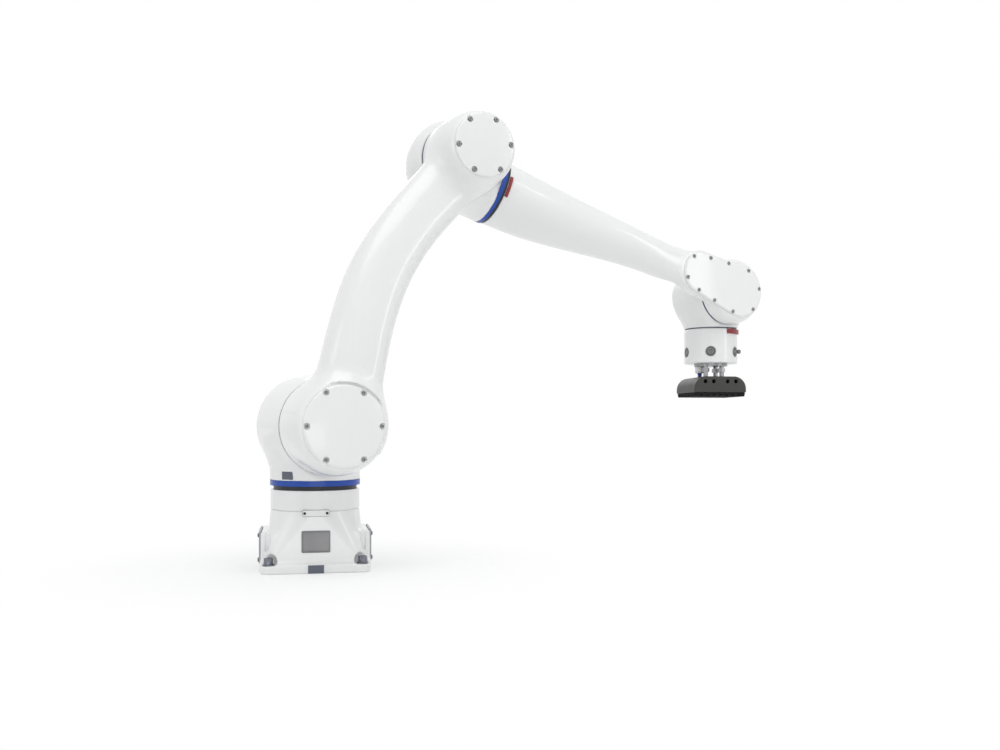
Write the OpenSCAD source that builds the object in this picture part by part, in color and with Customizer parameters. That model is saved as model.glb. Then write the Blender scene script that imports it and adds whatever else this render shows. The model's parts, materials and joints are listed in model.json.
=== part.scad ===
// Six-axis robot arm, bolted to the floor, with a foam vacuum gripper on its flange.
// Millimetres, +Z up. The origin is on the turning axis of the base, at the underside of the foot.
// The plate side of the base faces -Y. The arm itself is turned by turn_rest towards +Y.

/* [Arm] */
// Distance from the shoulder axis to the elbow axis
upper_len = 780; // [650:5:950]
// Distance from the elbow axis to the wrist axis
fore_len = 920; // [820:5:1100]
// Height of the shoulder axis above the floor
shoulder_h = 356; // [320:1:420]
// Turn of the arm about the base axis, from +X towards +Y
turn_rest = 13.7; // [-60:0.1:60]
// Lean of the lower arm from upright
lean_rest = 27.3; // [0:0.1:45]
// Fall of the forearm below level
pitch_rest = 18.6; // [0:0.1:30]
// Running gap at every turning seam
seam_gap = 0.5; // [0.3:0.1:0.8]

/* [Base] */
// Width of the square bottom of the base casting
body_w = 236; // [228:1:244]
// Reach of the square foot beyond the base casting, all round
foot_out = 12.5; // [10:0.5:24]
// Thickness of the foot
foot_t = 20; // [14:1:26]
// Corner radius of the foot
foot_corner = 14; // [8:1:18]
// Distance of the four anchor holes from the edges of the foot
bolt_edge = 17.5; // [16:0.5:22]
// Diameter of the anchor holes
bolt_hole = 18; // [14:1:20]
// Radius of the domed pocket round each anchor bolt
pocket_r = 21; // [18:0.5:25]
// Height of the straight wall of the bolt pockets
pocket_h = 7; // [4:1:14]
// Radius of the round neck
neck_r = 111; // [106:0.5:114]
// Height of the neck
neck_h = 50; // [40:1:56]
// Height of the shoulder axis above the neck
shoulder_up = 158; // [154:1:170]
// Drop from the neck's seam to the top of the connector boxes
box_drop = 50; // [36:1:58]
// Length of the connector boxes, front to back
box_len = 180; // [150:1:190]
// Thickness of the connector panels
panel_t = 5; // [3:0.5:7]
// Width of the small cover plate on the neck
plate_w = 63; // [50:1:70]
// Height of the small cover plate
plate_h = 14.5; // [12:0.5:18]
// Width of the pad on the front edge of the foot
pad_w = 38; // [30:1:50]

/* [Shoulder] */
// Radius of the blue ring above the base
turn_ring_r = 112.5; // [108:0.5:116]
// Height of the blue ring above the base
turn_ring_h = 13.5; // [10:0.5:16]
// Dark groove between the neck and the blue ring
turn_groove = 10.5; // [6:0.5:12]
// Radius of the shoulder seam
shoulder_r = 119; // [116:0.5:123]
// Shoulder seam, in front of the base axis
shoulder_seam = 117; // [116:0.5:122]
// Widest radius of the shoulder housing, towards the back
shoulder_back_r = 131; // [128:0.5:134]
// Back end of the shoulder housing, behind the base axis
shoulder_back = 128; // [118:1:140]
// Face of the round shoulder cover, in front of the base axis
shoulder_face = 275; // [268:1:290]
// Radius of the round shoulder cover
shoulder_cover_r = 98; // [92:0.5:102]

/* [Lower arm] */
// Bow of the lower arm behind the straight line between its axes
upper_bow = 71; // [50:1:80]
// Width of the lower arm at its root
upper_w_root = 174; // [164:1:184]
// Extra width of the lower arm's front edge where it meets the shoulder
upper_flare = 16; // [8:1:22]
// Width of the lower arm at its middle
upper_w = 147; // [138:1:156]
// Width of the lower arm at the elbow
upper_w_top = 163; // [154:1:172]
// Thickness of the lower arm at its root
upper_t = 138; // [128:1:144]
// Thickness of the lower arm at the elbow
upper_t_top = 104; // [92:1:112]
// Inner face of the lower arm, in front of the base axis
upper_inner = 122; // [121:0.5:128]

/* [Elbow] */
// Radius of the elbow seam
elbow_r = 101; // [97:0.5:105]
// Elbow seam, in front of the base axis
elbow_seam = 91; // [88:0.5:96]
// Widest radius of the elbow housing
elbow_swell = 119; // [114:0.5:123]
// Back end of the elbow housing, behind the base axis
elbow_back = 83; // [78:1:92]
// Radius of the round cover at the back of the elbow
elbow_rear_r = 71; // [64:0.5:76]
// Face of the round elbow cover, in front of the base axis
elbow_face = 267; // [260:1:275]
// Radius of the round elbow cover
elbow_cover_r = 80; // [75:0.5:84]
// Distance from the elbow axis to the forearm's blue ring
roll_ring_x = 133; // [128:1:145]
// Radius of the forearm's blue ring
roll_ring_r = 94.5; // [92:0.5:98]
// Width of the forearm's blue ring
roll_ring_w = 9; // [7:0.5:12]
// Dark groove beside the forearm's blue ring
roll_groove = 7.5; // [5:0.5:9]

/* [Forearm] */
// Radius of the forearm tube at its thick end
fore_r = 91; // [87:0.5:93]
// Radius of the forearm tube at its thin end
fore_tip_r = 51; // [46:0.5:56]
// Thickness of the flat end beside the wrist
paddle_t = 46; // [40:0.5:52]
// Radius of the flat end round the wrist axis
paddle_r = 78.5; // [74:0.5:82]
// Offset of the flat end's rounding beyond the wrist axis
paddle_ahead = 7.5; // [0:0.5:12]
// Radius of the flat end's other lobe
lobe_r = 63; // [58:0.5:68]
// Distance between the two lobes
lobe_pitch = 146; // [136:1:158]
// Thickness of the long cover on the flat end
side_cover_t = 7; // [5:0.5:9]

/* [Wrist] */
// Radius of the wrist drum
wrist_r = 96; // [92:0.5:100]
// Front end of the wrist drum, in front of the arm's plane
wrist_half = 79.5; // [79.5:0.5:84]
// Back end of the wrist drum, behind the arm's plane
wrist_back = 86.5; // [80:0.5:92]
// Rounding of the wrist drum's back edge
wrist_edge = 30; // [20:1:36]
// Width of the blue ring in the wrist seam
wrist_ring_w = 5; // [4:0.5:8]
// Distance from the wrist axis down to the tool seam
tool_seam = 103; // [100:1:112]
// Radius of the tool housing
tool_r = 79.5; // [74:0.5:79.5]
// Height of the tool housing
tool_h = 104; // [90:1:120]
// Turn of the tool about its axis, from the arm's direction
tool_turn = -15.6; // [-60:0.1:60]
// Radius of the round ports in the tool housing
port_r = 15; // [12:0.5:18]

/* [Gripper] */
// Radius of the flange under the tool housing
flange_r = 50; // [44:1:54]
// Thickness of the flange
flange_t = 7; // [5:0.5:10]
// Circle radius of the four posts
post_circle = 36; // [32:1:38]
// Length of the posts between flange and gripper
post_len = 34; // [28:1:45]
// Side of the square gripper block
grip_w = 162; // [150:1:176]
// Height of the gripper block
grip_h = 48; // [42:1:60]
// Rounding of the gripper block's upper side edges
grip_round = 37; // [24:1:40]
// Thickness of the foam pad
foam_t = 12; // [8:1:18]

/* [Hidden] */
$fn = 96;
white = "#f1f2f2";
blue = "#2c55a8";
dark = "#26282b";
grey = "#6d7280";
steel = "#b9bbbd";
red = "#a01d24";
foam = "#1d1f21";

// Joint centres in the plane of the arm: along the arm, and up
elbow_x = upper_len * sin(lean_rest);
elbow_z = shoulder_h + upper_len * cos(lean_rest);
wrist_x = elbow_x + fore_len * cos(pitch_rest);
wrist_z = elbow_z - fore_len * sin(pitch_rest);

// Base values
hull_sides = 48;
box_over = 1.5;
box_depth = 50;
skirt = 4;
pad_t = 2;
plate_out = 1.5;
plate_up = 3;
foot_w = body_w + 2 * foot_out;
bolt_spacing = foot_w - 2 * bolt_edge;
box_w = foot_w / 2 + box_over;
neck_top = shoulder_h - shoulder_up;
neck_z = neck_top - neck_h;
box_top = neck_z - box_drop;
turn_ring_z = neck_top + turn_groove;
swivel_z = turn_ring_z + turn_ring_h;
plate_seat = neck_r - skirt;
plate_reach = neck_r + body_w / 2;
plate_z = neck_z - plate_h + plate_up;
panel_rim = 20;
panel_len = box_len - 2 * panel_rim;
panel_h = box_top - foot_t;

// Seam values: each joint ring lies almost flush in its seam, each seal deeper
seal_inset = 7;
ring_depth = 22;
ring_inset = 3;
ring_flush = 0.8;
shoulder_ring_w = 4;
elbow_ring_w = 6;
elbow_step = 9;
elbow_wide_at = 38;
collar_run = 16;
neck_band = 8;
cover_t = 9;
cover_dome = 4;
cover_lip = 2.5;
rear_cover_t = 8;
fore_start = roll_ring_x + roll_ring_w + roll_groove + seam_gap;
wrist_seam = wrist_half + wrist_ring_w;
paddle_front = wrist_seam + seam_gap + paddle_t;
paddle_back = paddle_front - paddle_t;
paddle_x = fore_len + paddle_ahead;
lobe_x = paddle_x - lobe_pitch;
plate_t = 26;
core_inset = 14;
block_gap = 0.3;
block_t = 4;
fore_block_w = 8;
fore_block_span = 35;
fore_block_from = 255;
tool_block_h = 14;
tool_block_drop = 2;
tool_block_span = 46;
tool_block_side = 60;
tool_seal_h = 2.5;
tool_top = tool_seam + tool_seal_h + seam_gap;
tool_bottom = tool_top + tool_h;
grip_top = tool_bottom + flange_t + post_len;
post_r = 7;
collar_r = 11;
collar_h = 12;
collar_low = 18;
hole_r = 5.7;
hole_drop = 15;
hole_depth = 24;
holes = [-0.29, -0.13, 0.14, 0.3];
port_z = -tool_top - 0.67 * tool_h;
front_port_turn = -111;
port_step = 66;
port_depth = 10;
port_lip = 1;
port_gap = 0.2;
plug_r = 0.55 * port_r;
plug_h = 3;
stub_r = port_r / 4;
stub_h = 9;

// Frames: the arm's plane, the lower arm, the elbow with the forearm along +X, the wrist and the tool
module at_arm() { rotate([0, 0, turn_rest]) children(); }
module at_lower_arm() { at_arm() translate([0, 0, shoulder_h]) rotate([0, lean_rest, 0]) children(); }
module at_elbow() { at_arm() translate([elbow_x, 0, elbow_z]) rotate([0, pitch_rest, 0]) children(); }
module at_wrist() { at_arm() translate([wrist_x, 0, wrist_z]) children(); }
module at_tool() { at_wrist() rotate([0, 0, tool_turn]) children(); }

// A revolved shape about the joint axis, with its profile height counted towards the front (-Y)
module facing_front() { rotate([90, 0, 0]) children(); }

// Points of an elliptical arc
function arc(centre, rx, ry, from, to, steps) =
    [for (i = [0 : steps])
        let (a = from + (to - from) * i / steps)
        [centre.x + rx * cos(a), centre.y + ry * sin(a)]];

// Smooth step from 0 to 1 while x goes from low to high
function ease(x, low, high) =
    let (u = min(1, max(0, (x - low) / (high - low))))
    u * u * (3 - 2 * u);
function mix(a, b, u) = a + (b - a) * u;

// Half of a superellipse ring's coordinate, with its sign
function pow_sign(v, p) = sign(v) * pow(abs(v), p);

// Solid skinned over rings of equal length
module skin(rings) {
    n = len(rings[0]);
    m = len(rings);
    sides = [for (i = [0 : m - 2], j = [0 : n - 1])
        let (k = (j + 1) % n)
        each [[i * n + j, (i + 1) * n + j, (i + 1) * n + k], [i * n + j, (i + 1) * n + k, i * n + k]]];
    low = [for (j = [0 : n - 1]) j];
    high = [for (j = [n - 1 : -1 : 0]) (m - 1) * n + j];
    polyhedron([for (ring = rings) each ring], concat([low, high], sides));
}

// Round cover with a lip and a shallow dome; its back is at z = 0
module round_cover(r, t) {
    rotate_extrude() polygon(concat(
        [[0, 0], [r, 0], [r, t - cover_dome - cover_lip]],
        [[r - cover_lip, t - cover_dome]],
        arc([0, t - cover_dome], r - cover_lip - 3, cover_dome, 0, 90, 8)));
}

// Plain ring set in a joint seam, from z = 0 to z = w
module seam_ring(r, w) {
    rotate_extrude() translate([r - ring_depth, 0]) square([ring_depth, w]);
}

// Outline with one radius at every corner, centred
module rounded_square(w, r) {
    square([w, w - 2 * r], center = true);
    square([w - 2 * r, w], center = true);
    for (x = [-1, 1], y = [-1, 1]) translate([x, y] * (w / 2 - r)) circle(r);
}

// Base

module base_casting() {
    color(white) difference() {
        union() {
            linear_extrude(foot_t) rounded_square(foot_w, foot_corner);
            hull() {
                translate([0, 0, foot_t - skirt]) linear_extrude(2 * skirt) square(body_w, center = true);
                translate([0, 0, neck_z - skirt]) cylinder(r = neck_r, h = skirt, $fn = hull_sides);
            }
            for (side = [-1, 1])
                translate([side * (box_w - box_depth / 2), 0, box_top / 2])
                    cube([box_depth, box_len, box_top], center = true);
        }
        for (x = [-1, 1], y = [-1, 1]) translate([x, y, 0] * bolt_spacing / 2) {
            translate([0, 0, -1]) cylinder(d = bolt_hole, h = foot_t + 2);
            translate([0, 0, foot_t]) bolt_pocket();
        }
        plate_pocket();
    }
}

// Room round an anchor bolt on top of the foot: a straight wall under a dome
module bolt_pocket() {
    rotate_extrude() polygon(concat(
        [[0, 0], [pocket_r, 0]],
        arc([0, pocket_h], pocket_r, pocket_r, 0, 90, 12)));
}

// Flat seat for the small cover plate, cut into the casting and the neck
module plate_pocket() {
    translate([-plate_w / 2, -plate_reach, plate_z]) cube([plate_w, plate_reach - plate_seat, plate_h]);
}

module base_neck() {
    color(white) difference() {
        translate([0, 0, neck_z]) rotate_extrude()
            polygon([[0, 0], [neck_r - 2, 0], [neck_r, 2], [neck_r, neck_top - neck_z - 1],
                [neck_r - 1, neck_top - neck_z], [0, neck_top - neck_z]]);
        plate_pocket();
    }
}

module base_seal() {
    color(dark) translate([0, 0, neck_top]) cylinder(r = neck_r - seal_inset, h = turn_groove - seam_gap);
}

module neck_cover_plate() {
    color(white) translate([-plate_w / 2, -neck_r - plate_out, plate_z])
        cube([plate_w, neck_r + plate_out - plate_seat, plate_h]);
}

module front_pad() {
    color(grey) translate([-pad_w / 2, -foot_w / 2 - pad_t, 0]) cube([pad_w, pad_t, foot_t]);
}

module side_panel(side) {
    color(grey) translate([side * (box_w + panel_t / 2), 0, foot_t + panel_h / 2])
        cube([panel_t, panel_len, panel_h], center = true);
}
module side_panel_left() { side_panel(-1); }
module side_panel_right() { side_panel(1); }

// Swivel with the shoulder housing

module swivel_ring() {
    color(blue) translate([0, 0, turn_ring_z]) cylinder(r = turn_ring_r, h = turn_ring_h);
}

// Drum along the shoulder axis, rounded at the back
module shoulder_drum() {
    front = shoulder_seam - shoulder_ring_w;
    round_x = shoulder_back_r - shoulder_cover_r + skirt;
    round_y = 48;
    facing_front() rotate_extrude($fn = hull_sides) polygon(concat(
        [[0, front], [shoulder_r, front], [mix(shoulder_r, shoulder_back_r, 0.7), 0]],
        arc([shoulder_back_r - round_x, -shoulder_back + round_y], round_x, round_y, 0, -90, 6),
        [[0, -shoulder_back]]));
}

module swivel_housing() {
    color(white) hull() {
        translate([0, 0, swivel_z]) cylinder(r = turn_ring_r, h = 2 * turn_ring_h, $fn = hull_sides);
        at_arm() translate([0, 0, shoulder_h]) shoulder_drum();
    }
}

module shoulder_ring() {
    color(blue) at_arm() translate([0, 0, shoulder_h]) facing_front()
        translate([0, 0, shoulder_seam - shoulder_ring_w])
            seam_ring(shoulder_r - ring_flush, shoulder_ring_w);
}

module shoulder_rear_cover() {
    color(white) at_arm() translate([0, 0, shoulder_h]) rotate([-90, 0, 0])
        translate([0, 0, shoulder_back]) round_cover(shoulder_cover_r - 2 * ring_inset, rear_cover_t);
}

// Lower arm

// Hub of the lower arm round a joint axis, from its seam to the seat of its round cover
module arm_hub(seam, r, seat, seat_r) {
    inset = 4;
    flare = r - seat_r + inset;
    rise = (seat - seam) * 0.62;
    facing_front() rotate_extrude() polygon(concat(
        [[0, seam + seam_gap], [r, seam + seam_gap]],
        arc([seat_r - inset, seat - rise], flare, rise, 0, acos(inset / flare), 10),
        [[seat_r, seat], [0, seat]]));
}

// Centre of the lower arm at height z: it bows backwards between its two axes
function bow_x(z) =
    let (u = z / upper_len)
    -upper_bow * pow(max(0, 4 * u * (1 - u)), 1.76);

// Width of the lower arm at height z, through its three named widths
function bow_w(z) =
    let (u = z / upper_len)
    upper_w_root * (1 - u) * (1 - 2 * u) + upper_w * 4 * u * (1 - u) + upper_w_top * u * (2 * u - 1);

// Ring of the lower arm's tube at height z: a superellipse between its inner and front faces
function upper_ring(z) =
    let (
        u = ease(z, 0.25 * upper_len, upper_len),
        inner = mix(upper_inner, elbow_seam + elbow_step, u),
        thick = mix(upper_t, upper_t_top, u),
        flare = upper_flare * (1 - ease(z, 0.04 * upper_len, 0.2 * upper_len)),
        half = (bow_w(z) + flare) / 2,
        power = 2 / 2.7)
    [for (i = [0 : 35])
        let (a = 10 * i)
        [bow_x(z) + flare / 2 + half * pow_sign(cos(a), power),
         -inner - thick / 2 + thick / 2 * pow_sign(sin(a), power),
         z]];

module lower_arm_casting() {
    steps = 18;
    color(white) at_lower_arm() union() {
        arm_hub(shoulder_seam, shoulder_r, shoulder_face - cover_t, shoulder_cover_r + 1);
        translate([0, 0, upper_len]) arm_hub(elbow_seam, elbow_r, elbow_face - cover_t, elbow_cover_r + 1);
        skin([for (i = [0 : steps]) upper_ring(upper_len * i / steps)]);
    }
}

module shoulder_front_cover() {
    color(white) at_lower_arm() facing_front()
        translate([0, 0, shoulder_face - cover_t]) round_cover(shoulder_cover_r, cover_t);
}

module elbow_front_cover() {
    color(white) at_lower_arm() translate([0, 0, upper_len]) facing_front()
        translate([0, 0, elbow_face - cover_t]) round_cover(elbow_cover_r, cover_t);
}

// Elbow

module elbow_ring() {
    color(blue) at_elbow() facing_front() translate([0, 0, elbow_seam - elbow_ring_w])
        seam_ring(elbow_r - ring_flush, elbow_ring_w);
}

// Drum about a cross axis with its back edge rounded
module cross_drum(r, front, back, edge) {
    facing_front() rotate_extrude($fn = hull_sides) polygon(concat(
        [[0, front], [r, front]],
        arc([r - edge, -back + edge], edge, edge, 0, -90, 6),
        [[0, -back]]));
}

// Ball-shaped housing about the elbow axis, cut flat at the seam and at the back
module elbow_ball() {
    front = elbow_seam - elbow_ring_w;
    depth_front = (front - elbow_wide_at) / sqrt(1 - pow(elbow_r / elbow_swell, 2));
    depth_back = (elbow_back + elbow_wide_at) / sqrt(1 - pow(elbow_rear_r / elbow_swell, 2));
    facing_front() rotate_extrude($fn = hull_sides) polygon(concat(
        [[0, front]],
        arc([0, elbow_wide_at], elbow_swell, depth_front, acos(elbow_r / elbow_swell), 0, 5),
        arc([0, elbow_wide_at], elbow_swell, depth_back, -6, -acos(elbow_rear_r / elbow_swell), 7),
        [[0, -elbow_back]]));
}

// The ball runs into a neck that stays behind the elbow seam and widens to a round collar at the ring
module elbow_housing() {
    collar_x = elbow_r + cover_lip;
    neck_depth = 2 * min(elbow_back, elbow_seam - elbow_ring_w);
    color(white) at_elbow() union() {
        hull() {
            elbow_ball();
            translate([roll_ring_x - neck_band, 0, 0]) rotate([0, 90, 0]) intersection() {
                cylinder(r = roll_ring_r, h = neck_band, $fn = hull_sides);
                cube([2 * roll_ring_r, neck_depth, 3 * neck_band], center = true);
            }
        }
        rotate([0, 90, 0]) rotate_extrude() polygon([
            [0, collar_x], [neck_depth / 2, collar_x], [roll_ring_r, collar_x + collar_run],
            [roll_ring_r, roll_ring_x], [0, roll_ring_x]]);
    }
}

module elbow_rear_cover() {
    color(white) at_elbow() rotate([-90, 0, 0]) translate([0, 0, elbow_back])
        round_cover(elbow_rear_r - cover_lip, rear_cover_t);
}

module roll_ring() {
    color(blue) at_elbow() translate([roll_ring_x, 0, 0]) rotate([0, 90, 0])
        cylinder(r = roll_ring_r, h = roll_ring_w);
}

module roll_seal() {
    color(dark) at_elbow() translate([roll_ring_x + roll_ring_w, 0, 0]) rotate([0, 90, 0])
        cylinder(r = roll_ring_r - ring_inset, h = roll_groove);
}

// Forearm

// Ring of the forearm tube at distance x from the elbow axis: the tube narrows, its front side moves
// out to the flat end, and its back side flattens to make room for the wrist
function fore_ring(x) =
    let (
        r = mix(fore_r, fore_tip_r, ease(x, fore_start, 0.89 * lobe_x)),
        front = mix(fore_r, paddle_front, ease(x, 0.31 * lobe_x, 0.83 * lobe_x)),
        half_y = mix(r, paddle_t / 2, ease(x, 0.83 * lobe_x, 0.97 * lobe_x)))
    [for (i = [0 : 35])
        let (a = 10 * i)
        [x, half_y - front + half_y * cos(a), r * sin(a)]];

// Outline of the flat end: two lobes and their outer tangents, widened by grow
module paddle_outline(grow) {
    r1 = paddle_r + grow;
    r2 = lobe_r + grow;
    tilt = asin((r1 - r2) / lobe_pitch);
    polygon(concat(
        arc([paddle_x, 0], r1, r1, -90 - tilt, 90 + tilt, 28),
        arc([lobe_x, 0], r2, r2, 90 + tilt, 270 - tilt, 20)));
}

// Tube, flat end with a thinner rim than its core, and the hub beside the wrist
module forearm_casting() {
    steps = 20;
    color(white) at_elbow() union() {
        skin([for (i = [0 : steps]) fore_ring(mix(fore_start, lobe_x, i / steps))]);
        facing_front() {
            translate([0, 0, paddle_front - plate_t]) linear_extrude(plate_t) paddle_outline(0);
            translate([0, 0, paddle_back]) linear_extrude(paddle_t - 1) paddle_outline(-core_inset);
        }
        translate([fore_len, 0, 0])
            arm_hub(wrist_seam + seam_gap, wrist_r, paddle_front - ring_inset, paddle_r - ring_inset);
    }
}

module forearm_stop_block() {
    color(red) at_elbow() translate([fore_start + 1, 0, 0]) rotate([0, 90, 0])
        rotate([0, 0, fore_block_from]) rotate_extrude(angle = fore_block_span)
            translate([fore_r + block_gap, 0]) square([block_t, fore_block_w]);
}

module wrist_side_cover() {
    color(white) at_elbow() facing_front() translate([0, 0, paddle_front])
        linear_extrude(side_cover_t) paddle_outline(-ring_inset);
}

// Wrist

module wrist_ring() {
    color(blue) at_wrist() facing_front() translate([0, 0, wrist_half])
        seam_ring(wrist_r - ring_flush, wrist_ring_w);
}

module wrist_housing() {
    color(white) at_wrist() hull() {
        cross_drum(wrist_r, wrist_half, wrist_back, wrist_edge);
        translate([0, 0, -tool_seam]) cylinder(r = tool_r, h = 2 * neck_band, $fn = hull_sides);
    }
}

module wrist_rear_cover() {
    color(white) at_wrist() rotate([-90, 0, 0]) translate([0, 0, wrist_back])
        round_cover(wrist_r - wrist_edge, rear_cover_t);
}

// Tool housing and gripper

module tool_seal() {
    color(dark) at_tool() translate([0, 0, -tool_seam - tool_seal_h])
        cylinder(r = tool_r - ring_inset, h = tool_seal_h);
}

module port_place(turn) {
    translate([0, 0, port_z]) rotate([0, 0, turn]) rotate([0, 90, 0]) children();
}

module tool_housing() {
    color(white) at_tool() difference() {
        translate([0, 0, -tool_bottom]) cylinder(r = tool_r, h = tool_h);
        for (turn = [0, -port_step, port_step]) port_place(front_port_turn + turn)
            translate([0, 0, tool_r - port_depth]) cylinder(r = port_r, h = 2 * port_depth);
    }
}

module tool_stop_block() {
    turn = front_port_turn + tool_block_side - tool_block_span / 2;
    low = tool_top + tool_block_drop + tool_block_h;
    color(red) at_tool() translate([0, 0, -low]) rotate([0, 0, turn]) rotate_extrude(angle = tool_block_span)
        translate([tool_r + block_gap, 0]) square([block_t, tool_block_h]);
}

// Round metal port set in the tool housing, with or without a plug stub
module port(turn, stub) {
    color(steel) at_tool() port_place(turn) {
        translate([0, 0, tool_r - port_depth]) cylinder(r = port_r - port_gap, h = port_depth - port_lip);
        translate([0, 0, tool_r - port_lip]) cylinder(r = plug_r, h = plug_h);
        if (stub) translate([0, 0, tool_r - port_lip + plug_h]) cylinder(r = stub_r, h = stub_h);
    }
}
module port_front() { port(front_port_turn, false); }
module port_left() { port(front_port_turn - port_step, false); }
module port_right() { port(front_port_turn + port_step, true); }

module tool_flange() {
    color(steel) at_tool() translate([0, 0, -tool_bottom - flange_t]) cylinder(r = flange_r, h = flange_t);
}

// Post with a six-sided collar below the flange
module post(turn) {
    color(steel) at_tool() rotate([0, 0, turn]) translate([post_circle, 0, -grip_top]) {
        cylinder(r = post_r, h = post_len);
        translate([0, 0, post_len - collar_low]) cylinder(r = collar_r, h = collar_h, $fn = 6);
    }
}
module gripper_post_a() { post(45); }
module gripper_post_b() { post(135); }
module gripper_post_c() { post(225); }
module gripper_post_d() { post(315); }

// Front outline of the gripper block, with its two upper corners rounded
module grip_outline() {
    half = grip_w / 2;
    translate([-half, 0]) square([grip_w, grip_h - grip_round]);
    translate([-half + grip_round, 0]) square([grip_w - 2 * grip_round, grip_h]);
    for (x = [-1, 1]) translate([x * (half - grip_round), grip_h - grip_round]) intersection() {
        circle(grip_round);
        translate([-grip_round, 0]) square([2 * grip_round, grip_round]);
    }
}

// Square block with a row of air holes in its front
module gripper_body() {
    low = grip_top + grip_h;
    color(dark) at_tool() translate([0, 0, -low]) difference() {
        rotate([90, 0, 0]) linear_extrude(grip_w, center = true) grip_outline();
        for (x = holes) translate([x * grip_w, -grip_w / 2 - 1, grip_h - hole_drop])
            rotate([-90, 0, 0]) cylinder(r = hole_r, h = hole_depth);
    }
}

module gripper_pad() {
    low = grip_top + grip_h + foam_t;
    color(foam) at_tool() translate([0, 0, -low]) linear_extrude(foam_t)
        square(grip_w - skirt, center = true);
}

base_casting();
base_neck();
base_seal();
neck_cover_plate();
front_pad();
side_panel_left();
side_panel_right();
swivel_ring();
swivel_housing();
shoulder_ring();
shoulder_rear_cover();
lower_arm_casting();
shoulder_front_cover();
elbow_front_cover();
elbow_ring();
elbow_housing();
elbow_rear_cover();
roll_ring();
roll_seal();
forearm_casting();
forearm_stop_block();
wrist_side_cover();
wrist_ring();
wrist_housing();
wrist_rear_cover();
tool_seal();
tool_housing();
tool_stop_block();
port_front();
port_left();
port_right();
tool_flange();
gripper_post_a();
gripper_post_b();
gripper_post_c();
gripper_post_d();
gripper_body();
gripper_pad();
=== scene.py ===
"""Looks of a white six-axis robot arm with a foam gripper, built round its packed CAD frame.

A casting is a skin: a numpy field gives the signed distance to the shape in millimetres, and the skin is
where that field is 0. Screws, bolts and port faces are profiles turned about an axis, and plates are rings
of one outline. Each piece is worked out in the frame of its own joint and placed in metres.
"""

import json
import math
from functools import partial
from types import SimpleNamespace
from typing import NamedTuple

import bpy
import numpy as np
from bpy.props import FloatProperty, FloatVectorProperty, PointerProperty
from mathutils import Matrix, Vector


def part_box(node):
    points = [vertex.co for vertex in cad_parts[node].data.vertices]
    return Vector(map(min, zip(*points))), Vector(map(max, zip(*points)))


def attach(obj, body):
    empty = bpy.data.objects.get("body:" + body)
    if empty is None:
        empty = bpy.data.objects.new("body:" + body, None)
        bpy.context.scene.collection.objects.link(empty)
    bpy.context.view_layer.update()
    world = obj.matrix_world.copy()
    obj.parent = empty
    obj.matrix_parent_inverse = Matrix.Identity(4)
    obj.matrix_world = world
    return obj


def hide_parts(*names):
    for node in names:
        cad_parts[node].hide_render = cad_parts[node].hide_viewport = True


bl_info = {
    "name": "Robot Arm Looks",
    "version": (1, 0, 0),
    "blender": (4, 5, 0),
    "location": "3D View > Sidebar > Robot Arm",
    "description": "Castings, screws, plates and finishes of a six-axis robot arm",
    "category": "Object",
}

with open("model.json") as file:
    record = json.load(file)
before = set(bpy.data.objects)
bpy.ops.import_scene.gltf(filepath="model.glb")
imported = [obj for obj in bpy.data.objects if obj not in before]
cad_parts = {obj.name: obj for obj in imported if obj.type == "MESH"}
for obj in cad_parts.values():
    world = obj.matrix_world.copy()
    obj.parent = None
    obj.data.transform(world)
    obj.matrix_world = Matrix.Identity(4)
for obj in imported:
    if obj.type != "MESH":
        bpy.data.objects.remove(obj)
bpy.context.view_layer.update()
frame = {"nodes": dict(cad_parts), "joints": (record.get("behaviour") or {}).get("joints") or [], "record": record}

MM = 0.001
UP = np.array((0.0, 0.0, 1.0))
JOINTS = {joint["name"]: joint for joint in frame["joints"]}
ACROSS = np.array(JOINTS["shoulder_lean"]["axis"], float)
ALONG = np.cross(ACROSS, UP)
SHOULDER, ELBOW, WRIST = (
    np.array(JOINTS[name]["pos_m"], float) / MM for name in ("shoulder_lean", "elbow_bend", "wrist_bend")
)
LINK_LEN = np.linalg.norm(ELBOW - SHOULDER)
LINK = (ELBOW - SHOULDER) / LINK_LEN
ROLL = np.array(JOINTS["forearm_roll"]["axis"], float)

# Frames: an origin in millimetres and the three local axes as rows. The front of every joint is -Y.
BASE_FRAME = (np.zeros(3), np.eye(3))
SWIVEL_FRAME = (SHOULDER, np.array((ALONG, ACROSS, UP)))
LOWER_ARM_FRAME = (SHOULDER, np.array((np.cross(ACROSS, LINK), ACROSS, LINK)))
FOREARM_FRAME = (ELBOW, np.array((ROLL, ACROSS, np.cross(ROLL, ACROSS))))
WRIST_FRAME = (WRIST, np.array((ALONG, ACROSS, UP)))


# Settings


def number(name, description, default, least=0.0):
    """A plain number property."""
    return FloatProperty(name=name, description=description, default=default, min=least)


def length(name, description, default_mm):
    """A length property in metres, from a default in millimetres."""
    return FloatProperty(
        name=name, description=description, default=default_mm * MM, min=0.0, unit="LENGTH"
    )


def angle(name, description, default_degrees):
    """An angle property, from a default in degrees."""
    return FloatProperty(
        name=name, description=description, default=math.radians(default_degrees), unit="ROTATION"
    )


def colour(name, description, default):
    """A linear colour property."""
    return FloatVectorProperty(
        name=name, description=description, default=default, size=3, min=0.0, max=1.0, subtype="COLOR"
    )


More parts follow.
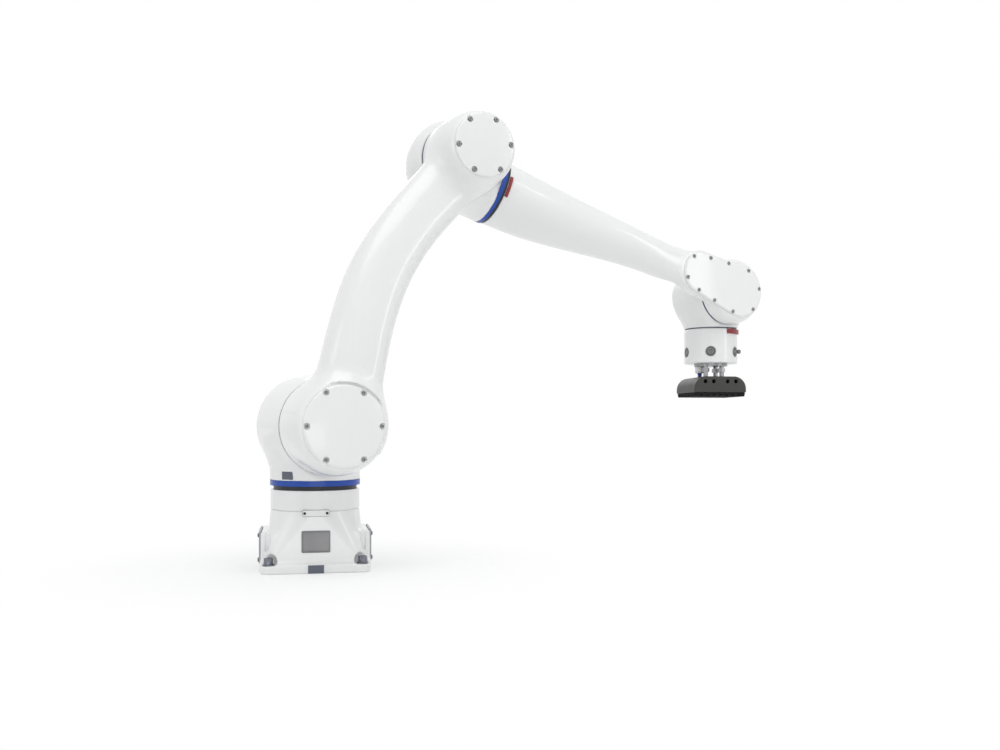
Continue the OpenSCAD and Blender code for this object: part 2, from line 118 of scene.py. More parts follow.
class BaseSizes(bpy.types.PropertyGroup):
    """Sizes of the base casting and what is fixed to it."""

    foot_w: length("Foot", "Side of the square foot", 261)
    foot_t: length("Foot thickness", "Thickness of the foot", 20)
    foot_corner: length("Foot corner", "Corner radius of the foot", 14)
    body_w: length("Body", "Side of the square bottom of the body", 236)
    body_corner: length("Body corner", "Corner radius at the bottom of the body", 12)
    neck_r: length("Neck radius", "Radius of the round neck", 111)
    neck_z: length("Neck seam", "Height of the seam below the neck", 148)
    box_w: length("Box side", "Distance from the turning axis to the side of a connector box", 132)
    box_depth: length("Box depth", "Depth of a connector box", 50)
    box_len: length("Box length", "Length of a connector box, front to back", 180)
    box_top: length("Box height", "Height of a connector box", 98)
    bolt_at: length("Bolt place", "Distance of an anchor bolt from the middle, both ways", 113)
    bolt_hole_r: length("Bolt hole", "Radius of an anchor hole", 9)
    pocket_r: length("Pocket radius", "Radius of the domed pocket round a bolt", 21)
    pocket_h: length("Pocket wall", "Height of the straight wall of a pocket", 7)
    plate_w: length("Rating plate width", "Width of the bare metal plate", 69)
    plate_h: length("Rating plate height", "Height of the bare metal plate", 53)
    plate_z: length("Rating plate place", "Height of the middle of the bare metal plate", 75)


class ArmSizes(bpy.types.PropertyGroup):
    """Sizes of the swivel, both links, the elbow and the wrist."""

    swivel_z: length("Swivel foot", "Height of the underside of the swivel housing", 222)
    neck_r: length("Swivel neck", "Radius of the swivel housing at its foot", 112.5)
    shoulder_r: length("Shoulder seam radius", "Radius of the shoulder seam", 119)
    shoulder_seam: length("Shoulder seam", "Distance of the shoulder seam from the arm's plane", 117)
    shoulder_back_r: length("Shoulder back radius", "Widest radius of the shoulder housing", 131)
    shoulder_back: length("Shoulder back", "Distance of the back of the shoulder housing", 128)
    shoulder_seat: length("Shoulder seat", "Seat of the shoulder cover", 266)
    shoulder_cover_r: length("Shoulder cover", "Radius of the shoulder cover", 98)
    upper_bow: length("Lower arm bow", "Bow of the lower arm behind the line between its axes", 71)
    upper_w_root: length("Root width", "Width of the lower arm at the shoulder", 174)
    upper_w: length("Middle width", "Width of the lower arm at its middle", 147)
    upper_w_top: length("Top width", "Width of the lower arm at the elbow", 163)
    upper_flare: length("Root flare", "Extra width of the lower arm's front edge at the shoulder", 16)
    upper_t: length("Root depth", "Depth of the lower arm at the shoulder", 138)
    upper_t_top: length("Top depth", "Depth of the lower arm at the elbow", 104)
    upper_inner: length("Inner face", "Distance of the lower arm's inner face at the shoulder", 122)
    upper_inner_top: length(
        "Inner face at the top", "Distance of the lower arm's inner face at the elbow", 100
    )
    elbow_r: length("Elbow seam radius", "Radius of the elbow seam", 101)
    elbow_seam: length("Elbow seam", "Distance of the elbow seam from the arm's plane", 91)
    elbow_swell: length("Elbow ball", "Widest radius of the elbow housing", 119)
    elbow_wide_at: length("Elbow ball place", "Distance of the widest part of the elbow housing", 38)
    elbow_back: length("Elbow back", "Distance of the back of the elbow housing", 83)
    elbow_rear_r: length("Elbow rear cover", "Radius at the back of the elbow housing", 71)
    elbow_seat: length("Elbow seat", "Seat of the elbow cover", 258)
    elbow_cover_r: length("Elbow cover", "Radius of the elbow cover", 80)
    roll_x: length("Roll ring place", "Distance from the elbow axis to the roll ring", 133)
    roll_r: length("Roll ring radius", "Radius of the elbow housing at the roll ring", 94.5)
    fore_start: length("Forearm start", "Distance from the elbow axis to the forearm", 150)
    fore_len: length("Forearm length", "Distance from the elbow axis to the wrist axis", 920)
    fore_r: length("Forearm radius", "Radius of the forearm at its thick end", 91)
    fore_tip_r: length("Forearm tip", "Radius of the forearm at its thin end", 51)
    paddle_back: length("Flat end back", "Distance of the back of the forearm's flat end", 85)
    paddle_front: length("Flat end front", "Distance of the front of the forearm's flat end", 131)
    paddle_r: length("Flat end radius", "Radius of the flat end round the wrist axis", 78.5)
    paddle_ahead: length("Flat end offset", "Offset of the flat end's rounding beyond the wrist axis", 7.5)
    plate_t: length("Flat end rim", "Thickness of the flat end at its rim", 26)
    core_inset: length("Flat end core", "Distance from the flat end's rim to its thick core", 14)
    lobe_r: length("Lobe radius", "Radius of the flat end's other lobe", 63)
    lobe_pitch: length("Lobe distance", "Distance between the two lobes", 146)
    side_cover_t: length("Long cover", "Thickness of the long cover on the flat end", 7)
    wrist_r: length("Wrist radius", "Radius of the wrist drum", 96)
    wrist_half: length("Wrist front", "Distance of the front of the wrist drum", 79.5)
    wrist_back: length("Wrist back", "Distance of the back of the wrist drum", 86.5)
    wrist_edge: length("Wrist edge", "Rounding of the wrist drum's back edge", 30)
    tool_seam: length("Tool seam", "Distance from the wrist axis down to the tool seam", 103)
    cover_t: length("Cover thickness", "Thickness of the round covers", 9)


class ToolSizes(bpy.types.PropertyGroup):
    """Sizes of the tool housing and the gripper."""

    turn: angle("Tool turn", "Turn of the tool from the arm's direction", -15.6)
    tool_r: length("Tool radius", "Radius of the tool housing", 79.5)
    tool_top: length("Tool top", "Distance from the wrist axis down to the tool housing", 106)
    tool_bottom: length("Tool bottom", "Distance from the wrist axis down to the flange", 210)
    port_r: length("Port radius", "Radius of the round ports", 15)
    port_drop: length("Port place", "Distance from the wrist axis down to the ports", 175.7)
    port_depth: length("Port depth", "Depth of the bores of the round ports", 10)
    port_turn: angle("Front port", "Direction of the front port", -111)
    port_step: angle("Port step", "Angle between neighbouring ports", 66)
    grip_top: length("Gripper top", "Distance from the wrist axis down to the gripper", 251)
    grip_h: length("Gripper height", "Height of the gripper block", 48)
    grip_w: length("Gripper side", "Side of the square gripper block", 162)
    grip_round: length("Gripper rounding", "Rounding of the gripper's upper side edges", 37)
    foam_t: length("Foam", "Thickness of the foam pad", 12)


class FinishColours(bpy.types.PropertyGroup):
    """Colours of the finishes."""

    white: colour("White enamel", "Paint of the castings and covers", (0.80, 0.805, 0.80))
    blue: colour("Ring blue", "Plastic of the joint rings", (0.007, 0.060, 0.360))
    # The seam blue is the ring blue darkened about five times as painted shade: it stands in for the shade in the
    # seam grooves where the thin rings sit.
    seam: colour("Seam blue", "Shaded plastic of the thin rings in the seams", (0.004, 0.012, 0.075))
    light_grey: colour("Light grey", "Powder coat of the side panels", (0.36, 0.37, 0.39))
    black: colour("Seal black", "Rubber of the seals", (0.012, 0.012, 0.014))
    grey: colour("Panel grey", "Powder coat of the panels and the pad", (0.105, 0.115, 0.150))
    red: colour("Block red", "Paint of the stop blocks", (0.240, 0.008, 0.016))
    steel: colour("Bare steel", "Turned steel of posts and flange", (0.306, 0.306, 0.315))
    zinc: colour("Zinc", "Plating of the anchor bolts", (0.164, 0.172, 0.202))
    screw: colour("Screw steel", "Steel of the cover screws", (0.281, 0.281, 0.289))
    port: colour("Port metal", "Dull metal of the ports", (0.230, 0.230, 0.225))
    plate: colour("Plate metal", "Brushed metal of the bare plates", (0.202, 0.202, 0.206))
    charcoal: colour("Gripper charcoal", "Coat of the gripper block", (0.034, 0.0325, 0.031))
    foam: colour("Foam black", "Cellular foam of the pad", (0.014, 0.014, 0.015))


class StageSizes(bpy.types.PropertyGroup):
    """The camera, the floor and the level of the light."""

    camera_place: FloatVectorProperty(
        name="Camera", description="Place of the camera", size=3, subtype="XYZ",
        default=(-0.0333, -2.5886, 0.3578),
    )
    camera_turn: angle("Camera turn", "Turn of the level camera to the right of +Y", 11.2)
    lens: number("Lens", "Focal length in millimetres", 36.0, least=1.0)
    shift: number("Rise", "Vertical shift of the frame", 0.0505, least=-1.0)
    floor_r: length("Floor radius", "Radius of the floor", 9000)
    light: number("Light level", "Strength of all the lamps together", 1.0)
    fill: number("Fill level", "Strength of the even light from all round", 0.6)


def in_mm(group):
    """The lengths of a property group in millimetres, and its angles in radians."""
    sizes = {}
    for name in group.__annotations__:
        turn = group.bl_rna.properties[name].unit == "ROTATION"
        sizes[name] = getattr(group, name) if turn else getattr(group, name) / MM
    return SimpleNamespace(**sizes)


# Fields and their parts


def mix(a, b, u):
    """Value that goes from a to b while u goes from 0 to 1."""
    return a + (b - a) * u


def ease(x, low, high):
    """Smooth step from 0 to 1 while x goes from low to high."""
    u = np.clip((x - low) / (high - low), 0.0, 1.0)
    return u * u * (3 - 2 * u)


def over(value):
    """The value where it is above 0, and 0 elsewhere."""
    return np.maximum(value, 0.0)


def run_together(a, b, k):
    """Union of two fields with a fillet: the smaller value, lowered by up to k/4 where the two are near."""
    h = np.clip(0.5 + 0.5 * (b - a) / k, 0.0, 1.0)
    return mix(b, a, h) - k * h * (1 - h)


def keep_both(a, b, k):
    """Intersection of two fields with a rounded edge: the larger value, raised by up to k/4 near both."""
    return -run_together(-a, -b, k)


def to_front(p):
    """Coordinates of local points: along, towards the front and up."""
    return p[..., 0], -p[..., 1], p[..., 2]


def rounded_square(x, y, flat, corner):
    """Distance to a square of half side flat, grown by a corner radius."""
    u, v = np.abs(x) - flat, np.abs(y) - flat
    return np.hypot(over(u), over(v)) + np.minimum(np.maximum(u, v), 0.0) - corner


def rounded_box(p, centre, half, corner):
    """Distance to a box with all its edges rounded."""
    q = np.abs(p - np.array(centre)) - np.array(half) + corner
    return np.linalg.norm(over(q), axis=-1) + np.minimum(q.max(-1), 0.0) - corner


def domed_end(r, t, core, edge, start, reach):
    """Distance to a round bar of radius core + edge, closed from start on by an ellipse of that reach."""
    return np.hypot(over(r - core), over(t - start) * edge / reach) - edge


def two_lobes(x, z, s, grow):
    """Distance to two circles and their outer tangents, grown on all sides.

    The first circle lies just beyond the wrist axis, and the other one lobe_pitch nearer the elbow.
    """
    r1, r2 = s.paddle_r + grow, s.lobe_r + grow
    u, v = np.abs(z), s.fore_len + s.paddle_ahead - x
    b = (r1 - r2) / s.lobe_pitch
    a = math.sqrt(1 - b * b)
    along = a * v - b * u
    end, other_end = np.hypot(u, v) - r1, np.hypot(u, v - s.lobe_pitch) - r2
    return np.where(along < 0, end, np.where(along > a * s.lobe_pitch, other_end, a * u + b * v - r1))


# Meshes

PULLS = 8
LEAST_SLOPE = 0.05


def skin(field, low, high, cell):
    """Closed surface where field is 0, as points, quads and normals.

    The field is sampled on a grid. Each cell that the surface crosses gives one point, which starts at the
    cell's middle and is drawn onto the surface along the field's gradient. Each grid edge that crosses the
    surface gives one quad between the four cells round it, turned to face outwards.
    """
    axes = [np.arange(a - cell, b + 2 * cell, cell) for a, b in zip(low, high)]
    grid = np.stack(np.meshgrid(*axes, indexing="ij"), -1)
    solid = field(grid) < 0
    corners = sum(
        solid[i : i - 1 or None, j : j - 1 or None, k : k - 1 or None].astype(np.int8)
        for i in (0, 1)
        for j in (0, 1)
        for k in (0, 1)
    )
    mixed = (corners > 0) & (corners < 8)
    if not mixed.any():
        raise RuntimeError("the field has no surface inside its box")
    index = np.full(mixed.shape, -1)
    index[mixed] = np.arange(mixed.sum())
    points = grid[:-1, :-1, :-1][mixed] + cell / 2
    for _ in range(PULLS):
        value, slope = field(points), gradient(field, points)
        move = slope * (value / np.maximum((slope * slope).sum(-1), LEAST_SLOPE))[:, None]
        share = np.minimum(1.0, cell / np.maximum(np.linalg.norm(move, axis=-1), 1e-9))
        points = points - move * share[:, None]
    quads = []
    for axis in range(3):
        inside, crossed = np.moveaxis(solid, axis, 0), np.moveaxis(index, axis, 0)
        low_end = inside[:-1, 1:-1, 1:-1]
        edge = low_end != inside[1:, 1:-1, 1:-1]
        around = (crossed[:, :-1, :-1], crossed[:, 1:, :-1], crossed[:, 1:, 1:], crossed[:, :-1, 1:])
        quad = np.stack([cells[edge] for cells in around], -1)
        turned_round = low_end[edge] == (axis == 1)
        quad[turned_round] = quad[turned_round][:, ::-1]
        quads.append(quad)
    slope = gradient(field, points)
    return points, np.concatenate(quads), slope / np.linalg.norm(slope, axis=-1, keepdims=True)


def gradient(field, points, reach=0.02):
    """Slope of the field at each point, by central differences."""
    sides = [np.eye(3)[axis] * reach for axis in range(3)]
    return np.stack([(field(points + side) - field(points - side)) / (2 * reach) for side in sides], -1)


def placed(points, place):
    """Points of a local frame, in metres of the object's frame."""
    origin, axes = place
    return (origin + points @ axes) * MM


def facing(place, at, out):
    """Frame at a local point of another frame, with its Z along a local direction."""
    origin, axes = place
    z = np.array(out, float) @ axes
    z = z / np.linalg.norm(z)
    x = np.cross(UP if abs(z[2]) < 0.9 else ALONG, z)
    x = x / np.linalg.norm(x)
    return (origin + np.array(at, float) @ axes, np.array((x, np.cross(z, x), z)))


def ring_faces(rings, sides):
    """Quads between neighbouring rings of points, and a cap that closes the first and the last ring."""
    i, j = np.meshgrid(np.arange(rings - 1) * sides, np.arange(sides), indexing="ij")
    k = (j + 1) % sides
    quads = np.stack([i + j, i + k, i + sides + k, i + sides + j], -1).reshape(-1, 4)
    return quads, np.array((np.arange(sides)[::-1], np.arange(sides) + (rings - 1) * sides))


def turned(profile, sides):
    """Profile of (radius, height, six-sided or round) rows turned about Z, as points, quads and caps.

    A six-sided row's radius is measured to its flats: r / cos(angle from the middle of the flat).
    """
    rows = np.array(profile, float)
    a = np.arange(sides) * 2 * np.pi / sides
    flats = 1 / np.cos((a + np.pi / 6) % (np.pi / 3) - np.pi / 6)
    r = rows[:, :1] * np.where(rows[:, 2:] > 0, flats, 1.0)
    height = np.broadcast_to(rows[:, 1:2], r.shape)
    points = np.stack([r * np.cos(a), r * np.sin(a), height], -1).reshape(-1, 3)
    return points, *ring_faces(len(rows), sides)


def plate_rings(width, height, thick, corner, sides=40):
    """Plate as rings of one rounded outline, its edge and then shrunk rings over its face.

    The outline is a rectangle grown by the corner radius: the half sides less the corner, plus the corner
    times the unit vector of the angle. Returns points, quads and caps.
    """
    a = (np.arange(sides) + 0.5) * 2 * np.pi / sides
    half = np.array((width / 2 - corner, height / 2 - corner))
    unit = np.stack([np.cos(a), np.sin(a)], -1)
    outline = np.sign(unit) * half + corner * unit
    rows = ((1.0, 0.0), (1.0, 0.7), (0.985, 1.0), (0.75, 1.0), (0.5, 1.0), (0.25, 1.0))
    rings = [np.column_stack([outline * share, np.full(sides, thick * level)]) for share, level in rows]
    return np.concatenate(rings), *ring_faces(len(rows), sides)


def new_piece(name, points, faces, look, body, node=None, normals=None):
    """Makes the mesh object, gives it its finish, and lets it ride on its body in place of its CAD node."""
    mesh = bpy.data.meshes.new(name)
    if isinstance(faces, np.ndarray):
        mesh.vertices.add(len(points))
        mesh.vertices.foreach_set("co", points.astype(np.float32).ravel())
        mesh.loops.add(faces.size)
        mesh.loops.foreach_set("vertex_index", faces.astype(np.int32).ravel())
        mesh.polygons.add(len(faces))
        mesh.polygons.foreach_set("loop_start", np.arange(0, faces.size, faces.shape[1], dtype=np.int32))
        mesh.update(calc_edges=True)
    else:
        mesh.from_pydata(points.tolist(), [], faces)
    mesh.polygons.foreach_set("use_smooth", np.ones(len(mesh.polygons), bool))
    mesh.validate()
    if normals is not None:
        mesh.normals_split_custom_set_from_vertices(normals.tolist())
    mesh.materials.append(finish(look))
    piece = bpy.data.objects.new(name, mesh)
    bpy.context.scene.collection.objects.link(piece)
    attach(piece, body)
    if node:
        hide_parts(node)
    return piece


def casting(name, field, low, high, cell, place, body, node, look="white_paint"):
    """A piece whose surface is the skin of a field, in a joint's frame, in place of a CAD node.

    low and high are the corners of the box that the field is sampled in, and leave room round the shape.
    """
    points, quads, normals = skin(field, low, high, cell)
    return new_piece(name, placed(points, place), quads, look, body, node, normals @ place[1])


def fixed(name, shapes, places, look, body, node=None):
    """A piece of small parts: copies of each shape, one in each frame."""
    points, faces, start = [], [], 0
    for rows, quads, caps in shapes:
        for place in places:
            points.append(placed(rows, place))
            faces += (quads + start).tolist() + (caps + start).tolist()
            start += len(rows)
    return new_piece(name, np.concatenate(points), faces, look, body, node)


# Finishes


class Finish(NamedTuple):
    """One finish: its record slot, material and colour, how uneven it is, and fixed values of its shader."""

    slot: str
    material: str
    colour: str
    cloud: tuple  # strength and scale of the clouding
    gloss: tuple  # roughness and its swing
    grain: tuple  # scale and strength of the grain
    depth: float = 0.0002
    stretch: tuple = (1.0, 1.0, 1.0)
    shader: dict = {}


METAL = {"Metallic": 1.0}
FINISHES = {
    "white_paint": Finish(
        "white_paint", "white_enamel", "white", (0.03, 5.0), (0.38, 0.08), (260.0, 0.06), 0.0003,
        shader={"Coat Weight": 0.7, "Coat Roughness": 0.07},
    ),
    "blue_ring": Finish(
        "blue_ring", "ring_blue_gloss", "blue", (0.25, 22.0), (0.34, 0.1), (500.0, 0.05),
        shader={"Coat Weight": 0.15, "Coat Roughness": 0.05, "Specular IOR Level": 0.35},
    ),
    # Finish of the thin seam rings: the ring blue darkened as painted shade of the seam grooves.
    "seam_ring": Finish(
        "blue_ring", "ring_blue_painted_shade", "seam", (0.25, 22.0), (0.4, 0.1), (500.0, 0.05),
        shader={"Specular IOR Level": 0.3},
    ),
    "black_seal": Finish("black_seal", "seal_rubber", "black", (0.6, 40.0), (0.42, 0.2), (600.0, 0.2)),
    "grey_panel": Finish("grey_panel", "panel_powder_coat", "grey", (0.15, 30.0), (0.5, 0.12), (900.0, 0.35)),
    "light_panel": Finish(
        "grey_panel", "panel_light_grey", "light_grey", (0.12, 30.0), (0.45, 0.12), (900.0, 0.3)
    ),
    "red_block": Finish(
        "red_block", "block_red_satin", "red", (0.3, 60.0), (0.4, 0.15), (900.0, 0.15),
        shader={"Coat Weight": 0.2},
    ),
    "bare_steel": Finish(
        "bare_steel", "turned_steel", "steel", (0.35, 45.0), (0.27, 0.22), (160.0, 0.2),
        stretch=(1.0, 1.0, 12.0), shader=METAL,
    ),
    "dark_gripper": Finish(
        "dark_gripper", "gripper_charcoal", "charcoal", (0.35, 14.0), (0.46, 0.16), (700.0, 0.25)
    ),
    "foam": Finish(
        "foam", "cellular_foam", "foam", (1.0, 220.0), (0.85, 0.2), (420.0, 1.0), 0.0012,
        shader={"Specular IOR Level": 0.2},
    ),
    "zinc": Finish(
        "bare_steel", "zinc_plate", "zinc", (0.5, 80.0), (0.36, 0.25), (800.0, 0.15), shader=METAL
    ),
    "screw": Finish(
        "bare_steel", "screw_steel", "screw", (0.4, 90.0), (0.4, 0.2), (800.0, 0.1), shader=METAL
    ),
    "port": Finish(
        "bare_steel", "port_metal", "port", (0.7, 70.0), (0.34, 0.25), (500.0, 0.2), shader=METAL
    ),
    # The brushing grain of the bare plates is real; their strong, broad clouding at a low scale is a painted
    # sheen, lighter and darker across the plate in place of a reflection.
    "plate": Finish(
        "bare_steel", "brushed_plate_painted_sheen", "plate", (0.55, 11.0), (0.38, 0.15), (300.0, 0.2),
        stretch=(0.15, 0.15, 6.0), shader=METAL,
    ),
}


def new_node(tree, kind, *inputs, **settings):
    """A node with its properties and inputs given: a value is set, and another node's output is linked.

    Inputs are given in their order, or by name with _ for a space.
    """
    made = tree.nodes.new(kind)
    given = list(enumerate(inputs))
    for key, value in settings.items():
        if hasattr(made, key):
            setattr(made, key, value)
        else:
            given.append((key.replace("_", " "), value))
    for key, value in given:
        if isinstance(value, bpy.types.NodeSocket):
            tree.links.new(value, made.inputs[key])
        else:
            made.inputs[key].default_value = value
    return made


def math_node(tree, operation, *inputs):
    """Output of a Math node."""
    return new_node(tree, "ShaderNodeMath", *inputs, operation=operation).outputs[0]


def surface_group():
    """Shader group for a surface that isn't quite even: clouded colour, uneven gloss and a fine grain.

    The colour is scaled by 1 + clouding * (noise - 0.5), the roughness is gloss + swing * (finer noise -
    0.5), and the height is a noise that can be stretched.
    """
    name = "uneven_surface"
    if name in bpy.data.node_groups:
        return bpy.data.node_groups[name]
    tree = bpy.data.node_groups.new(name, "ShaderNodeTree")
    for socket, kind, default in (
        ("Colour", "NodeSocketColor", (0.8, 0.8, 0.8, 1.0)),
        ("Clouding", "NodeSocketFloat", 0.05),
        ("Cloud Scale", "NodeSocketFloat", 6.0),
        ("Gloss", "NodeSocketFloat", 0.35),
        ("Gloss Swing", "NodeSocketFloat", 0.06),
        ("Grain Scale", "NodeSocketFloat", 400.0),
        ("Stretch", "NodeSocketVector", (1.0, 1.0, 1.0)),
    ):
        tree.interface.new_socket(socket, in_out="INPUT", socket_type=kind).default_value = default
    for socket, kind in (("Colour", "Color"), ("Roughness", "Float"), ("Height", "Float")):
        tree.interface.new_socket(socket, in_out="OUTPUT", socket_type="NodeSocket" + kind)
    given = tree.nodes.new("NodeGroupInput").outputs
    place = new_node(tree, "ShaderNodeTexCoord").outputs["Object"]
    finer = math_node(tree, "MULTIPLY", given["Cloud Scale"], 3.0)
    stretch = new_node(tree, "ShaderNodeVectorMath", place, given["Stretch"], operation="MULTIPLY").outputs[0]
    cloud, swing, grain = (
        new_node(tree, "ShaderNodeTexNoise", Vector=vector, Scale=scale, Detail=detail, Roughness=rough)
        for vector, scale, detail, rough in (
            (place, given["Cloud Scale"], 5.0, 0.6),
            (place, finer, 3.0, 0.5),
            (stretch, given["Grain Scale"], 2.0, 0.5),
        )
    )
    shade, gloss = (math_node(tree, "SUBTRACT", noise.outputs["Fac"], 0.5) for noise in (cloud, swing))
    shade = math_node(tree, "MULTIPLY_ADD", shade, given["Clouding"], 1.0)
    gloss = math_node(tree, "MULTIPLY_ADD", gloss, given["Gloss Swing"], given["Gloss"])
    tinted = new_node(tree, "ShaderNodeVectorMath", given["Colour"], operation="SCALE", Scale=shade)
    new_node(
        tree, "NodeGroupOutput", Colour=tinted.outputs[0], Roughness=gloss, Height=grain.outputs["Fac"]
    )
    return tree


def finish(key):
    """Material of one finish: the uneven surface group, which feeds a Principled shader and its bump."""
    look = FINISHES[key]
    if look.material in bpy.data.materials:
        return bpy.data.materials[look.material]
    material = bpy.data.materials.new(look.material)
    material.use_nodes = True
    tree = material.node_tree
    principled = tree.nodes["Principled BSDF"]
    for socket, value in look.shader.items():
        principled.inputs[socket].default_value = value
    tint = getattr(bpy.context.scene.arm_colours, look.colour)
    uneven = new_node(
        tree, "ShaderNodeGroup", node_tree=surface_group(), Colour=(*tint, 1.0), Clouding=look.cloud[0],
        Cloud_Scale=look.cloud[1], Gloss=look.gloss[0], Gloss_Swing=look.gloss[1], Grain_Scale=look.grain[0],
        Stretch=look.stretch,
    ).outputs
    bump = new_node(
        tree, "ShaderNodeBump", Strength=look.grain[1], Distance=look.depth, Height=uneven["Height"]
    )
    tree.links.new(uneven["Colour"], principled.inputs["Base Color"])
    tree.links.new(uneven["Roughness"], principled.inputs["Roughness"])
    tree.links.new(bump.outputs["Normal"], principled.inputs["Normal"])
    return material


# Fields of the castings, in millimetres of their own frames

# Room for the thin rings, from the seam to the housing, and the gap on the lower arm's side
SHOULDER_RING = 5
ELBOW_RING = 7.2
RING_GAP = 1.6
# Rounding of the edges beside a thin ring, and of the ends at the other seams
RING_EDGE = 4
END_EDGE = 1.5


def base_field(s, p):
    """Square foot, body that goes from square to round, and two connector boxes, run together.

    At each height the body is a square grown by a corner radius: the square shrinks to nothing while the
    radius grows to the neck's. A groove in the end of each box, the pockets and the anchor holes are cut out.
    """
    foot_fillet, box_fillet, box_edge = 22, 12, 5
    groove_x, groove_z, groove_half, groove_edge = s.bolt_at + 2, 76, (6.5, 2.5, 26), 2.4
    x, y, z = p[..., 0], p[..., 1], p[..., 2]
    rise = np.clip((z - s.foot_t) / (s.neck_z - s.foot_t), 0.0, 1.0)
    flat = (s.body_w / 2 - s.body_corner) * (1 - rise)
    body = keep_both(rounded_square(x, y, flat, mix(s.body_corner, s.neck_r, rise)), z - s.neck_z, 3)
    foot = rounded_square(x, y, s.foot_w / 2 - s.foot_corner, s.foot_corner)
    foot = keep_both(foot, np.abs(z - s.foot_t / 2) - s.foot_t / 2, 4)
    middle = (s.box_w - s.box_depth / 2, 0, s.box_top / 2)
    half = (s.box_depth / 2, s.box_len / 2, s.box_top / 2)
    box = rounded_box(np.stack([np.abs(x), y, z], -1), middle, half, box_edge)
    shape = run_together(run_together(body, foot, foot_fillet), box, box_fillet)
    groove = rounded_box(np.abs(p), (groove_x, s.box_len / 2, groove_z), groove_half, groove_edge)
    shape = keep_both(shape, -groove, 2)
    u, v = np.abs(x) - s.bolt_at, np.abs(y) - s.bolt_at
    pocket = np.sqrt(u * u + v * v + over(z - s.foot_t - s.pocket_h) ** 2) - s.pocket_r
    shape = keep_both(shape, -np.maximum(pocket, s.foot_t - z), 4)
    shape = np.maximum(shape, s.bolt_hole_r - np.hypot(u, v))
    return np.maximum(shape, -z)


def swivel_field(s, p):
    """Drum along the shoulder axis with a domed back, run together with a neck that opens upwards."""
    dome, fillet, neck_top = 48, 30, -30
    flare, flare_from, flare_run = 0.18, 27, 62
    x, t, z = to_front(p)
    foot = s.swivel_z - SHOULDER[2]
    edge = s.shoulder_back_r - s.shoulder_cover_r + 4
    along = (t + s.shoulder_back - dome) / (s.shoulder_seam + s.shoulder_back - dome)
    slim = (s.shoulder_back_r - s.shoulder_r) * np.clip(along, 0.0, 1.0) ** 2
    r = np.hypot(x, z) + slim
    drum = domed_end(r, -t, s.shoulder_back_r - edge, edge, s.shoulder_back - dome, dome)
    neck = np.hypot(x, t) - s.neck_r - flare * np.clip(z - foot - flare_from, 0, flare_run)
    shape = run_together(drum, keep_both(neck, z - neck_top, 10), fillet)
    shape = keep_both(shape, t - s.shoulder_seam + SHOULDER_RING, RING_EDGE)
    return keep_both(shape, foot - z, END_EDGE)


def lower_arm_field(s, p):
    """Bowed tube of superellipses between two flared hubs, run together.

    The tube's centre is at -bow * (4u(1-u))^1.76 and its width goes through three widths on a parabola,
    for u from 0 at the shoulder axis to 1 at the elbow axis.
    """
    bow_power, square, fillet, dome_share, cover_room = 1.76, 2.7, 30, 0.62, 3
    span = LINK_LEN
    hubs = (
        (0.0, s.shoulder_seam, s.shoulder_r, s.shoulder_seat, s.shoulder_cover_r + 1),
        (span, s.elbow_seam, s.elbow_r, s.elbow_seat, s.elbow_cover_r + 1),
    )
    x, t, z = to_front(p)
    u = z / span
    bow = -s.upper_bow * over(4 * u * (1 - u)) ** bow_power
    width = s.upper_w_root * (1 - u) * (1 - 2 * u) + s.upper_w * 4 * u * (1 - u)
    width = width + s.upper_w_top * u * (2 * u - 1)
    flare = s.upper_flare * (1 - ease(z, 0.04 * span, 0.2 * span))
    up = ease(z, 0.25 * span, span)
    half_w, half_t = (width + flare) / 2, mix(s.upper_t, s.upper_t_top, up) / 2
    across = np.abs(x - bow - flare / 2) / half_w
    deep = np.abs(t - mix(s.upper_inner, s.upper_inner_top, up) - half_t) / half_t
    tube = ((across**square + deep**square) ** (1 / square) - 1) * np.minimum(half_w, half_t)
    shape = np.maximum(tube, np.abs(z - span / 2) - span / 2)
    for height, seam, r, seat, seat_r in hubs:
        reach = (seat - seam) * dome_share
        hub = domed_end(np.hypot(x, z - height), t, seat_r - 4, r - seat_r + 4, seat - reach, reach)
        shape = run_together(shape, np.maximum(hub, seam - t), fillet)
    for height, _, _, seat, seat_r in hubs:
        room = seat_r + cover_room - np.hypot(x, z - height)
        shape = keep_both(shape, np.minimum(t - seat, room), 2)
    inner = mix(s.shoulder_seam, s.elbow_seam, ease(z, 0.25 * span, 0.75 * span)) + RING_GAP
    return keep_both(shape, inner - t, RING_EDGE)


def elbow_field(s, p):
    """Ball about the elbow axis, cut flat at its back and its seam, run together with the roll ring's neck.

    The ball is two half ellipsoids, which meet where it is widest.
    """
    fillet, cover_room, ring_room, neck_proud = 26, 3, 2.5, 1.5
    front = s.elbow_seam - ELBOW_RING
    ahead = (front - s.elbow_wide_at) / math.sqrt(1 - (s.elbow_r / s.elbow_swell) ** 2)
    behind = (s.elbow_back + s.elbow_wide_at) / math.sqrt(1 - (s.elbow_rear_r / s.elbow_swell) ** 2)
    x, t, z = to_front(p)
    r = np.hypot(x, z)
    off = t - s.elbow_wide_at
    ball = (np.hypot(r / s.elbow_swell, off / np.where(off > 0, ahead, behind)) - 1) * s.elbow_swell
    ball = keep_both(ball, -s.elbow_back - t, 5)
    neck = np.maximum(np.hypot(t, z) - s.roll_r, -x)
    shape = run_together(ball, neck, fillet)
    shape = keep_both(shape, np.minimum(-s.elbow_back - t, s.elbow_rear_r + cover_room - r), 4)
    shape = keep_both(shape, np.minimum(t - front, s.elbow_r + ring_room - r), 2)
    shape = keep_both(shape, t - front - neck_proud, 6)
    return keep_both(shape, x - s.roll_x, END_EDGE)


